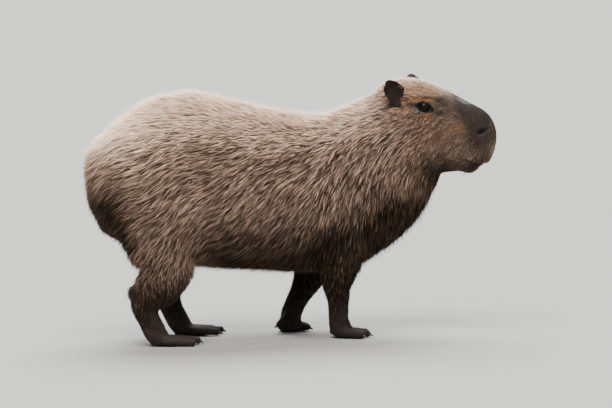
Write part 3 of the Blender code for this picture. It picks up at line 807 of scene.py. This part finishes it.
def coat_roots(skin, density, region, seed):
    """Places and normals of tufts, and the source of chance: triangles of the region are laid end to end
    by area and density and cut into as many even stretches as there are tufts, one tuft at a random place
    in each, so that the tufts spread evenly."""
    draw = np.random.default_rng(seed)
    corner = skin["points"][skin["rows"]]
    area = 0.5 * np.linalg.norm(np.cross(corner[:, 1] - corner[:, 0], corner[:, 2] - corner[:, 0]), axis=1)
    middle = corner.mean(axis=1)
    amount = area * density(middle) * region(middle) * (1 - smooth_step(bare_share(middle), 0.3, 0.7))
    total = np.cumsum(amount)
    count = int(total[-1])
    stop = (np.arange(count) + draw.random(count)) * (total[-1] / count)
    chosen = np.minimum(np.searchsorted(total, stop), len(total) - 1)
    first = np.sqrt(draw.random(count))
    second = draw.random(count)
    share = np.stack((1 - first, first * (1 - second), first * second), axis=1)[:, :, None]
    roots = (skin["points"][skin["rows"][chosen]] * share).sum(axis=1)
    normals = unit((skin["normals"][skin["rows"][chosen]] * share).sum(axis=1))
    return roots, normals, draw


def streaks(points, lie, width, reach):
    """Streaks along the hair, from 0 to 1: the mean of chance cells met along the lie, less a half, times
    a gain, spread out by one over 1 + exp(-x)."""
    steps = np.linspace(-reach, reach, STREAK_STEPS)
    total = sum(hashed(np.floor((points + step * lie) / width).astype(np.int64), 21) for step in steps)
    return 1 / (1 + np.exp(-(total / len(steps) - 0.5) * STREAK_GAIN))


def combed(roots, normals, length, draw, stray):
    """Each tuft's direction and streak: the coat's lie, turned in the skin by slow swells and at random,
    and drawn towards the middle of its lock, whose members share a cell about half a hair wide."""
    plain = coat_lie(roots, normals)
    across = np.cross(normals, plain)
    swell = 0.15 * waves(roots, 0.130, 3) + 0.05 * waves(roots, 0.050, 7)
    lie = np.cos(swell)[:, None] * plain + np.sin(swell)[:, None] * across
    width = STREAK_WIDTH * np.sqrt(length.mean() / BODY_HAIR)
    streak = streaks(roots, lie, width, STREAK_REACH * length.mean())
    turn = swell + stray * draw.normal(size=len(roots))
    size = np.maximum(CLUMP * length, LEAST_LOCK)[:, None]
    warp = 0.30 * np.stack([waves(roots, 0.023, salt) for salt in (11, 13, 17)], axis=1)
    cells = np.floor(roots / size + warp).astype(np.int64)
    turn = turn + 0.12 * (hashed(cells, 5) - 0.5)
    lie = np.cos(turn)[:, None] * plain + np.sin(turn)[:, None] * across
    key = cells[:, 0] * 1000003 + cells[:, 1] * 10007 + cells[:, 2]
    _, lock = np.unique(key, return_inverse=True)
    lock = lock.ravel()
    share = np.bincount(lock)
    middle = np.stack([np.bincount(lock, weights=roots[:, axis]) / share for axis in range(3)], axis=1)
    pull = (middle[lock] - roots) / length[:, None]
    pull = pull - (pull * normals).sum(axis=1, keepdims=True) * normals
    return unit(lie + LOCK_PULL * pull), streak


def tuft_arrays(roots, normals, lie, length, height, width, tone, marks_and_light, place, bent):
    """Closed three-sided spikes.  Each has its root a little under the skin, three corners there and, if
    bent, three more just before half its length, then a tip; the middle rises steeply to its height and
    the outer part runs along the body.  Gives points, triangles, strand shares, markings with painted light
    and shade, and places on the unwrap, one patch for each tuft."""
    count = len(roots)
    across = unit(np.cross(normals, lie))
    stations = ((0.0, -ROOT_SINK / np.maximum(height, 1e-5), 1.0),)
    if bent:
        stations = stations + ((0.46, 0.66, 0.86),)
    rings = []
    for reach, rise, breadth in stations:
        middle = roots + (reach * length)[:, None] * lie + (rise * height)[:, None] * normals
        half = (0.5 * breadth * width)[:, None]
        rings += [middle - half * across, middle + half * across, middle + 0.9 * half * normals]
    level = np.sqrt(np.maximum(length ** 2 - height ** 2, 1e-10))
    rings.append(roots + level[:, None] * lie + height[:, None] * normals)
    corners = len(rings)
    faces = [(0, 2, 1)]
    last = corners - 4
    for one, two in ((0, 1), (1, 2), (2, 0)):
        if bent:
            faces += [(one, two + 3, one + 3), (one, two, two + 3)]
        faces.append((last + one, last + two, corners - 1))
    start = corners * np.arange(count, dtype=np.int32)
    rows = (np.array(faces, np.int32)[None] + start[:, None, None]).reshape(-1, 3)
    along = np.zeros(corners)
    along[3:] = 0.5
    along[-1] = 1.0
    strand = np.column_stack((np.tile(along, count), np.repeat(tone, corners, axis=0)))
    patch = np.array([(0.0, 0.0), (1.0, 0.0), (0.5, 0.1), (0.1, 0.5), (0.9, 0.5), (0.5, 0.6), (0.5, 1.0)])
    patch = patch if bent else patch[[0, 1, 2, 6]]
    spots = (PATCH * (patch[None] - 0.5) + place[:, None, :]).reshape(-1, 2)
    return np.stack(rings, axis=1).reshape(-1, 3), rows, strand, np.repeat(marks_and_light, corners, axis=0), spots


def tuft_mesh(name, parts):
    """One mesh of several sets of tufts, with their shares, and their patches as the OFBake map."""
    strand, marks_and_light, spots = (np.concatenate(column) for column in list(zip(*parts))[2:])
    piece = mesh_from(name, *joined([part[:2] for part in parts]), smooth=False)
    give_values(piece.data, "strand", strand)
    give_values(piece.data, "marks_and_light", marks_and_light)
    layer = piece.data.uv_layers.new(name="OFBake")
    order = rows_of(piece.data.loops, "vertex_index", 1)[:, 0]
    layer.data.foreach_set("uv", spots[order].astype(np.float32).ravel())
    return piece


def wrapped(points, middle, columns, low, high):
    """Place on an unwrap round an axis: the angle about the middle line, and how far along the axis."""
    first, second, along = columns
    angle = np.arctan2(points[:, first] - middle[0], points[:, second] - middle[1]) / (2 * pi) + 0.5
    reach = (points[:, along] - low) / (high - low)
    return np.clip(np.stack((angle, reach), axis=1), 0.003, 0.997)


class Value:
    """One output of a material's nodes.  Adding, taking away, multiplying or raising it adds a Math node,
    so that a pattern is written as a sum."""

    def __init__(self, nodes, socket):
        self.nodes = nodes
        self.socket = socket

    def math(self, operation, other, turned=False):
        """A Math node of this value and another, which comes first if turned."""
        pair = (other, self) if turned else (self, other)
        return self.nodes.node("ShaderNodeMath", {"operation": operation}, {0: pair[0], 1: pair[1]})

    def __add__(self, other):
        return self.math("ADD", other)

    def __sub__(self, other):
        return self.math("SUBTRACT", other)

    def __rsub__(self, other):
        return self.math("SUBTRACT", other, True)

    def __mul__(self, other):
        return self.math("MULTIPLY", other)

    def __pow__(self, other):
        return self.math("POWER", other)

    __radd__ = __add__
    __rmul__ = __mul__

    def between(self, low, high):
        """This value spread from 0 at low to 1 at high, held to that range, with a smooth turn."""
        return self.nodes.node("ShaderNodeMapRange", {"interpolation_type": "SMOOTHSTEP"},
                               {"Value": self, "From Min": low, "From Max": high})


class Nodes:
    """A material under construction."""

    def __init__(self, name):
        self.material = bpy.data.materials.new(name)
        self.material.use_nodes = True
        self.tree = self.material.node_tree
        self.tree.nodes.clear()

    def node(self, kind, settings=None, inputs=None, output=0):
        """A node of that type, its settings made first, then its inputs filled or linked."""
        made = self.tree.nodes.new(kind)
        for key, value in (settings or {}).items():
            setattr(made, key, value)
        for key, value in (inputs or {}).items():
            socket = made.inputs[key]
            if isinstance(value, Value):
                self.tree.links.new(value.socket, socket)
            elif isinstance(value, tuple) and len(value) == 3 and socket.type == "RGBA":
                socket.default_value = (*value, 1.0)
            else:
                socket.default_value = value
        return Value(self, made.outputs[output]) if len(made.outputs) else None

    def blend(self, share, first, second):
        """The first colour where share is 0 and the second where it is 1."""
        return self.node("ShaderNodeMix", {"data_type": "RGBA"}, {0: share, 6: first, 7: second}, 2)

    def tinted(self, colour, amount):
        """A colour times a value, through Vector Math."""
        return self.node("ShaderNodeVectorMath", {"operation": "SCALE"}, {0: colour, 3: amount})

    def attribute(self, name):
        """The first three shares of a colour attribute on the mesh."""
        colour = self.node("ShaderNodeAttribute", {"attribute_name": name})
        return [self.node("ShaderNodeSeparateColor", None, {0: colour}, part) for part in range(3)]

    def noise(self, scale, detail, rough=0.5, stretch=None):
        """Noise on the piece's own coordinates, stretched if asked."""
        place = self.node("ShaderNodeTexCoord", None, None, 3)
        if stretch:
            place = self.node("ShaderNodeMapping", None, {"Vector": place, "Scale": stretch})
        return self.node("ShaderNodeTexNoise", None, {"Vector": place, "Scale": scale, "Detail": detail,
                                                      "Roughness": rough})

    def bumped(self, height, distance, strength):
        """A normal bent by a height."""
        inputs = {"Strength": strength, "Distance": distance, "Height": height}
        return self.node("ShaderNodeBump", None, inputs)

    def finish(self, colour, roughness, normal=None, **constants):
        """The Principled shader and the output."""
        inputs = {"Base Color": colour, "Roughness": roughness}
        inputs.update({key.replace("_", " "): value for key, value in constants.items()})
        if normal is not None:
            inputs["Normal"] = normal
        shader = self.node("ShaderNodeBsdfPrincipled", None, inputs)
        self.node("ShaderNodeOutputMaterial", None, {"Surface": shader})
        return self.material


# Colours, linear: hair
# Pale and dark hair carry painted light from above and painted shade as well as the coat's own colours.
FLANK_HAIR = (0.180, 0.118, 0.085)
PALE_HAIR = (0.86, 0.595, 0.435)
DARK_HAIR = (0.0105, 0.0053, 0.0019)
WARM_HAIR = (0.32, 0.146, 0.062)
BRIGHTEST = (0.97, 0.78, 0.62)
ROOT_SHADE = 0.45
TIP_GLOW = 1.55

# Colours, linear: skin with its nap, bare hide, eyes, lids and claws
FLANK_SKIN = (0.060, 0.044, 0.034)
# Pale and dark skin carry the same painted light and shade as the hair.
PALE_SKIN = (0.16, 0.12, 0.085)
DARK_SKIN = (0.017, 0.011, 0.010)
WARM_SKIN = (0.15, 0.075, 0.035)
HIDE = (0.018, 0.0135, 0.0138)
PUPIL = (0.003, 0.002, 0.002)
IRIS = (0.006, 0.003, 0.002)
EYE_RIM = (0.010, 0.007, 0.006)
LID_EDGE = (0.006, 0.004, 0.004)
DARK_HORN = (0.035, 0.026, 0.022)
PALE_HORN = (0.115, 0.088, 0.070)


def marked_and_lit_colour(nodes, flank_colour, pale_colour, dark_colour, warm_colour):
    """The coat's markings with painted light and shade: the flank's colour turned pale, warm and then dark
    by their shares.
    """
    pale, dark, warm = nodes.attribute("marks_and_light")
    colour = nodes.blend(pale, flank_colour, pale_colour)
    colour = nodes.blend(warm, colour, warm_colour)
    return nodes.blend(dark, colour, dark_colour)


def coat_material():
    """Hair: dark at the root, pale at the tip, each lock and each tuft a little lighter or darker."""
    nodes = Nodes("coarse_hair")
    along, tone, lock = nodes.attribute("strand")
    colour = marked_and_lit_colour(nodes, FLANK_HAIR, PALE_HAIR, DARK_HAIR, WARM_HAIR)
    shade = ROOT_SHADE + (TIP_GLOW - ROOT_SHADE) * (along ** 1.4)
    shade = shade * (0.42 + 2.10 * tone) * (0.56 + 1.28 * (lock ** 2.5))
    colour = nodes.tinted(colour, shade)
    colour = nodes.node("ShaderNodeVectorMath", {"operation": "MINIMUM"}, {0: colour, 1: BRIGHTEST})
    return nodes.finish(colour, 0.60, Specular_IOR_Level=0.14)


def skin_material():
    """Skin under the coat: dark, with the coat's own markings and painted light and shade, fine creases and
    a nap of flat hair, and bare hide with a pebbled grain where the bare share says so."""
    nodes = Nodes("skin_with_nap")
    colour = marked_and_lit_colour(nodes, FLANK_SKIN, PALE_SKIN, DARK_SKIN, WARM_SKIN)
    nap = nodes.noise(420.0, 2.0, 0.6, (1.0, 1.0, 0.30))
    creases = nodes.noise(60.0, 4.0, 0.55)
    grain = nodes.noise(900.0, 1.0)
    place = nodes.node("ShaderNodeTexCoord", None, None, 3)
    pebbles = nodes.node("ShaderNodeTexVoronoi", {"feature": "DISTANCE_TO_EDGE"},
                         {"Vector": place, "Scale": 460.0}).between(0.0, 0.22)
    colour = nodes.tinted(colour, (0.50 + 0.70 * nap + 0.50 * creases) * (0.84 + 0.16 * pebbles))
    normal = nodes.bumped(nap * 0.5 + creases * 0.6 + grain * 0.2 + pebbles * 0.14, 0.0018, 0.60)
    bare = nodes.node("ShaderNodeAttribute", {"attribute_name": "marks_and_light"}, None, 3)
    _, dark, _ = nodes.attribute("marks_and_light")
    shown = (1.08 - dark) * 4.0
    hide = nodes.tinted(HIDE, (0.4 + 1.0 * creases) * (0.8 + 0.2 * pebbles) * shown)
    colour = nodes.blend(bare, colour, hide)
    rough = (0.60 + 0.26 * nap) - 0.24 * bare * shown
    return nodes.finish(colour, rough, normal, Specular_IOR_Level=0.20)


def eye_material():
    """A wet, very dark brown eye: the iris is a little lighter round a black pupil."""
    nodes = Nodes("wet_eye")
    iris, rim, _ = nodes.attribute("iris")
    streak = nodes.noise(900.0, 2.0)
    colour = nodes.blend(iris, PUPIL, nodes.tinted(IRIS, 0.6 + 0.8 * streak))
    colour = nodes.blend(rim, colour, EYE_RIM)
    return nodes.finish(colour, 0.05, Coat_Weight=0.12, Coat_Roughness=0.02, Specular_IOR_Level=0.06)


def horn_material():
    """Claws: horn with lengthwise streaks, dark and paler."""
    nodes = Nodes("claw_horn")
    streak = nodes.noise(260.0, 3.0, 0.6, (0.25, 1.0, 1.0))
    colour = nodes.blend(streak.between(0.35, 0.7), DARK_HORN, PALE_HORN)
    normal = nodes.bumped(streak, 0.0005, 0.4)
    return nodes.finish(colour, 0.30 + 0.25 * streak, normal, Specular_IOR_Level=0.5)


def lid_material():
    """The bare, moist edge of the lids."""
    nodes = Nodes("lid_edge")
    grain = nodes.noise(1200.0, 2.0)
    colour = nodes.tinted(LID_EDGE, 0.7 + 0.7 * grain)
    normal = nodes.bumped(grain, 0.0003, 0.4)
    return nodes.finish(colour, 0.32 + 0.1 * grain, normal, Specular_IOR_Level=0.2)


def floor_material():
    """Plain pale floor."""
    return Nodes("pale_floor").finish(FLOOR_COLOUR, 0.85)


def ring_faces(count, turns):
    """Triangles between rings of points that follow each other, and from the first and the last ring to a
    point at each end; the two end points come after all the rings."""
    here = np.arange(turns)
    there = (here + 1) % turns
    ring = np.arange(count - 1)[:, None] * turns
    quads = np.stack((ring + here, ring + there, ring + turns + there, ring + turns + here), axis=-1)
    quads = quads.reshape(-1, 4)
    end, last = count * turns, (count - 1) * turns
    fans = (np.stack((np.full(turns, end), there, here), axis=1),
            np.stack((np.full(turns, end + 1), last + here, last + there), axis=1))
    return np.concatenate((quads[:, [0, 1, 2]], quads[:, [0, 2, 3]], *fans))


def circle(turns, first, second):
    """Directions evenly round a circle: cosine of the angle times first plus sine times second."""
    around = (np.arange(turns) * (2 * pi / turns))[:, None]
    return np.cos(around) * first + np.sin(around) * second


def eyeball(side):
    """A sphere with a slightly raised cornea, on a grid of angles from the pupil; its iris and rim are
    shares of the angle."""
    look, middle, radius = EYE_LOOK[side], EYES[side], EYE_RADIUS[side]
    forward, upward = eye_frame(side)
    if np.cross(forward, upward) @ look < 0:
        forward = -forward
    rings, turns = 33, 48
    angle = np.linspace(0, pi, rings + 2)[1:-1]
    bulge = radius * (1 + CORNEA * np.exp(-(angle / 0.42) ** 4)) - EYE_INSET
    along, across = bulge * np.cos(angle), bulge * np.sin(angle)
    round_look = circle(turns, forward, upward)
    body = middle + along[:, None, None] * look + across[:, None, None] * round_look
    front = middle + (radius * (1 + CORNEA) - EYE_INSET) * look
    back = middle - (radius - EYE_INSET) * look
    points = np.concatenate((body.reshape(-1, 3), front[None], back[None]))
    piece = mesh_from("eyeball_" + side, points, ring_faces(rings, turns)[:, ::-1])
    from_front = np.concatenate((np.repeat(angle, turns), (0.0, pi)))
    iris = smooth_step(from_front, 0.30, 0.36) * smooth_step(-from_front, -0.74, -0.66)
    rim = smooth_step(from_front, 0.68, 0.80)
    give_values(piece.data, "iris", np.stack((iris, rim), axis=1))
    dress(piece, WET_EYE, "wet_eye", "eye_" + side)


def tube(path, radius, sides=8):
    """A round tube along a path of points, closed by flat ends: rings of that radius square to the path."""
    heading = unit(np.gradient(path, axis=0))
    first = unit(np.cross(heading, HEAD_UP))
    second = np.cross(heading, first)
    body = path[:, None] + radius * circle(sides, first[:, None], second[:, None])
    return np.concatenate((body.reshape(-1, 3), path[:1], path[-1:])), ring_faces(len(path), sides)


def lid_margin(side):
    """A thin moist rim along both lids' edges, on the eyeball, as points and triangles."""
    forward, upward = eye_frame(side)
    place = np.linspace(-1, 1, 41) * EYE_OPENING * 0.985
    upper, lower = lid_edges(place)
    upper, lower = upper + 0.0007, lower - 0.0005
    place = place + EYE_SHIFT
    loop = np.concatenate((np.stack((place, upper), axis=1), np.stack((place, lower), axis=1)[::-1][1:-1]))
    loop = np.concatenate((loop, loop[:1]))
    radius = EYE_RADIUS[side] + 0.0010
    flat = np.minimum(np.hypot(loop[:, 0], loop[:, 1]), radius * 0.96)
    out = np.sqrt(radius ** 2 - flat ** 2)
    path = EYES[side] + loop[:, :1] * forward + loop[:, 1:] * upward + out[:, None] * EYE_LOOK[side]
    return tube(path, LID_RIM)


def claws():
    """Each claw's rounded solid, in horn."""
    for name in sorted(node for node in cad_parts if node.startswith("claw_")):
        piece = rounded(name, "horn_" + name)
        piece.data.shade_smooth()
        dress(piece, HORN, "claw_horn", name)


def even_density(amount):
    """As many tufts per square metre everywhere."""
    return lambda points: np.full(len(points), float(amount))


def head_density(points):
    """Tufts per square metre on the head: more where they are shortest."""
    local = to_head(points)
    return 400000.0 + 260000.0 * smooth_step(local[:, 0], 0.10, 0.16)


def on_body(points):
    """True off the head and the lower legs."""
    return (head_share(points) < 0.5) & (limb_share(points) < LEG_FROM)


def off_eyes(points):
    """False inside the eyes' openings."""
    clear = np.ones(len(points), bool)
    for side in EYES:
        past, out = beyond_lids(points, side)
        clear &= (past > 0.0024) | (out < 0.0) | (np.linalg.norm(points - EYES[side], axis=1) > 0.04)
    return clear


def is_ear(points):
    """True on the ears' solids."""
    inside = np.zeros(len(points), bool)
    for name in EARS:
        low, high = (np.array(corner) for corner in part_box(name))
        inside |= ((points > low - 0.001) & (points < high + 0.001)).all(axis=1)
    return inside


def body_region(low, high, sign):
    """Body between two places along it, on one side."""
    def region(points):
        along = points[:, 0]
        return on_body(points) & (along >= low) & (along < high) & (points[:, 1] * sign >= 0)
    return region


def head_region(sign):
    """One side of the head, but its ear and the eye's opening."""
    def region(points):
        on_side = (head_share(points) >= 0.5) & (to_head(points)[:, 1] * sign >= 0)
        return on_side & off_eyes(points) & ~is_ear(points)
    return region


def leg_region(low, high):
    """Lower legs between two places along the body, down to just over the soles."""
    def region(points):
        along = points[:, 0]
        on_leg = (head_share(points) < 0.5) & (limb_share(points) >= LEG_FROM)
        return on_leg & (along >= low) & (along < high) & (points[:, 2] > SOLE)
    return region


def wisp_region(sign):
    """One side of the whole animal, or both sides if sign is 0, but the ears and the eyes' openings."""
    return lambda points: (points[:, 1] * sign >= 0) & ~is_ear(points) & off_eyes(points)


def coat_piece(name, skin, density, region, seed, slot, width_share, lift, stray, bent, unwrap):
    """One piece of the coat: roots, lie, lengths with chance, colours at the root, and the mesh."""
    roots, normals, draw = coat_roots(skin, density, region, seed)
    length = hair_length(roots)
    lie, lock = combed(roots, normals, length, draw, stray)
    depth = coat_depth(roots)
    chance = draw.random((len(roots), 5))
    guard = chance[:, 3] < GUARD_SHARE
    height = depth * lift * np.where(guard, 0.95 + 0.35 * chance[:, 0], 0.50 + 0.40 * chance[:, 0])
    height = height * (0.86 + 0.22 * lock) * np.where(guard, 0.90 + 0.22 * chance[:, 4], 1.0)
    height = height * np.where(chance[:, 2] > 0.97, 1.45, 1.0)
    length = length * np.where(guard, 1.06 + 0.30 * chance[:, 1], 0.72 + 0.36 * chance[:, 1])
    width = np.maximum(width_share * length, THINNEST) * (0.8 + 0.4 * chance[:, 2])
    width = width * np.where(guard, 0.80, 1.08)
    bright = np.where(guard, 0.06 + 0.94 * chance[:, 4] ** 2.2, 0.22 * chance[:, 4])
    tone = np.stack((bright, lock), axis=1)
    marks_and_light = markings_and_light(roots, normals[:, 2])
    marks_and_light[:, 1] *= 1 - 0.28 * chance[:, 0] ** 3
    place = unwrap(roots)
    kinds = ((guard, True), (~guard, False)) if bent else ((np.ones(len(roots), bool), False),)
    facts = (roots, normals, lie, length, height, width, tone, marks_and_light, place)
    parts = [tuft_arrays(*(fact[who] for fact in facts), curved) for who, curved in kinds]
    dress(tuft_mesh(name, parts), HAIR, slot)


def wisp_density(points):
    """Wisps per square metre: most along the belly's edge, the back, the chest and the crown, few
    elsewhere and none on the legs."""
    along, height = points[:, 0], points[:, 2]
    back = smooth_step(height, 0.46, 0.58) * smooth_step(-along, -0.30, -0.10)
    chest = smooth_step(along, 0.20, 0.28) * smooth_step(-height, -0.45, -0.35)
    fringe = smooth_step(-height, -0.27, -0.21)
    crown = head_share(points) * smooth_step(-to_head(points)[:, 0], -0.13, -0.06)
    body = 4500.0 + 15000.0 * back + 16000.0 * chest + 26000.0 * fringe
    total = body * (1 - head_share(points)) + 16000.0 * crown * (1 - near_ear(points))
    return total * (1 - limb_share(points))


def whisker_density(points):
    """Whiskers per square metre: on the sides of the upper lip, and fewer on the chin."""
    local = folded(to_head(points))
    lip = bump(local, (0.222, 0.040, 0.470), (0.016, 0.030, 0.018))
    chin = bump(local, (0.180, 0.025, 0.418), (0.020, 0.030, 0.010))
    return 15000.0 * lip + 8000.0 * chin


def wisps(name, skin, density, region, seed, least, rise, width, slot, unwrap):
    """Fine single hairs that stand out of the coat, at least so long, rising by a share of their length."""
    roots, normals, draw = coat_roots(skin, density, region, seed)
    length = np.maximum(hair_length(roots), least)
    lie, lock = combed(roots, normals, length, draw, 0.25)
    chance = draw.random((len(roots), 3))
    length = length * (1.0 + 0.45 * chance[:, 0])
    height = length * (rise + 0.28 * chance[:, 1])
    width = width * (1.0 + 0.7 * chance[:, 2])
    tone = np.stack((0.55 + 0.45 * chance[:, 2], 0.5 + 0.5 * lock), axis=1)
    marks_and_light = markings_and_light(roots, normals[:, 2])
    place = unwrap(roots)
    part = tuft_arrays(roots, normals, lie, length, height, width, tone, marks_and_light, place, True)
    dress(tuft_mesh(name, [part]), HAIR, slot)


def round_body(low, high):
    """Unwrap of the body: angle round its long axis, and the place along it."""
    return lambda points: wrapped(points, (0.0, 0.40), (1, 2, 0), low, high)


def round_head(points):
    """Unwrap of the head: angle round its forward axis, and the place forward."""
    return wrapped(to_head(points), (0.0, 0.52), (1, 2, 0), -0.06, 0.26)


def round_legs(points):
    """Unwrap of a pair of legs, each in its own half: angle round a straight line up the leg, and the
    height."""
    spots = np.empty((len(points), 2))
    left = points[:, 1] > 0
    for half, start in ((left, 0.0), (~left, 0.5)):
        along, aside, height = points[half].T
        line = np.polyval(np.polyfit(height, along, 1), height)
        away = np.stack((along - line, aside - aside.mean(), height), axis=1)
        spots[half] = wrapped(away, (0.0, 0.0), (0, 1, 2), 0.0, 0.26) * (0.5, 1.0) + (start, 0.0)
    return spots


def studio():
    """Camera, floor, world and lamps."""
    data = bpy.data.cameras.new("camera")
    data.lens = CAMERA_LENS
    data.sensor_width = CAMERA_SENSOR
    data.clip_end = 200.0
    camera = bpy.data.objects.new("camera", data)
    back = np.array((sin(CAMERA_BEARING) * cos(CAMERA_HEIGHT), -cos(CAMERA_BEARING) * cos(CAMERA_HEIGHT),
                     sin(CAMERA_HEIGHT)))
    level = np.array((cos(CAMERA_BEARING), sin(CAMERA_BEARING), 0.0))
    rise = np.cross(back, level)
    right = cos(CAMERA_ROLL) * level - sin(CAMERA_ROLL) * rise
    up = cos(CAMERA_ROLL) * rise + sin(CAMERA_ROLL) * level
    place = np.array(CAMERA_AIM) + CAMERA_DISTANCE * back
    matrix = np.eye(4)
    matrix[:3, 0], matrix[:3, 1], matrix[:3, 2], matrix[:3, 3] = right, up, back, place
    camera.matrix_world = mathutils.Matrix(matrix.tolist())
    bpy.context.scene.collection.objects.link(camera)
    bpy.context.scene.camera = camera

    square = np.array([(-1, -1, 0), (1, -1, 0), (1, 1, 0), (-1, 1, 0)], float)
    floor = mesh_from("floor", FLOOR_HALF * square, [(0, 1, 2, 3)])
    floor.data.materials.append(floor_material())
    world = bpy.data.worlds.new("studio_air")
    bpy.context.scene.world = world
    world.use_nodes = True
    world.node_tree.nodes["Background"].inputs[0].default_value = (*AIR_COLOUR, 1.0)
    world.node_tree.nodes["Background"].inputs[1].default_value = AIR_STRENGTH
    for name, place, spread, power in LAMPS:
        lamp = bpy.data.lights.new(name, "SUN")
        lamp.angle = spread
        lamp.energy = power
        stand = bpy.data.objects.new(name, lamp)
        turn = mathutils.Vector(-unit(np.array(place))).to_track_quat("-Z", "Y")
        stand.rotation_euler = turn.to_euler()
        stand.location = place
        bpy.context.scene.collection.objects.link(stand)


HAIR = coat_material()
HORN = horn_material()
WET_EYE = eye_material()
studio()
skin = skin_piece()
surface = {"points": points_of(skin.data), "rows": triangles_of(skin.data)}
surface["normals"] = point_normals(surface["points"], surface["rows"])
give_values(skin.data, "marks_and_light", markings_and_light(surface["points"], surface["normals"][:, 2]))
dress(skin, skin_material(), "dark_skin", *FLESH)
for side in EYES:
    eyeball(side)
rims = mesh_from("lid_margins", *joined([lid_margin(side) for side in EYES]))
dress(rims, lid_material(), "dark_skin")
claws()

# Pieces of the coat: where each begins and ends along the body, and how their tufts are made
BODY_FROM, BODY_TO = -0.60, 0.60
BODY_PIECES = (("rump", BODY_FROM, -0.315), ("loin", -0.315, -0.130), ("flank", -0.130, 0.060),
               ("shoulder", 0.060, BODY_TO))
LEG_PIECES = (("hind_legs", BODY_FROM, -0.10), ("fore_legs", -0.10, BODY_TO))
BODY_TUFT = dict(slot="coat_flank", width_share=0.060, lift=0.88, stray=0.11, bent=True)
HEAD_TUFT = dict(slot="coat_face", width_share=0.145, lift=1.15, stray=0.14, bent=False)
LEG_TUFT = dict(slot="short_fur", width_share=0.155, lift=1.25, stray=0.14, bent=False)
EAR_TUFT = dict(slot="short_fur", width_share=0.13, lift=1.3, stray=0.30, bent=False)
EAR_SEED = 140
WHISKER_SEED = 150
seed = 100  # each piece of the coat takes the next number for its chance
for label, low, high in BODY_PIECES:
    for side, sign in SIDES:
        seed += 1
        coat_piece("coat_%s_%s" % (label, side), surface, even_density(174000),
                   body_region(low, high, sign), seed, unwrap=round_body(low, high), **BODY_TUFT)
for side, sign in SIDES:
    seed += 1
    coat_piece("coat_head_" + side, surface, head_density, head_region(sign), seed, unwrap=round_head,
               **HEAD_TUFT)
coat_piece("coat_ears", surface, even_density(420000), is_ear, EAR_SEED, unwrap=round_head, **EAR_TUFT)
for label, low, high in LEG_PIECES:
    seed += 1
    coat_piece("coat_" + label, surface, even_density(220000), leg_region(low, high), seed,
               unwrap=round_legs, **LEG_TUFT)
for side, sign in SIDES:
    seed += 1
    wisps("coat_wisps_" + side, surface, wisp_density, wisp_region(sign), seed, 0.010, 0.40, 0.0007,
          "coat_back", round_body(BODY_FROM, BODY_TO))
wisps("whiskers", surface, whisker_density, wisp_region(0), WHISKER_SEED, 0.021, 0.52, 0.00036,
      "coat_face", round_head)
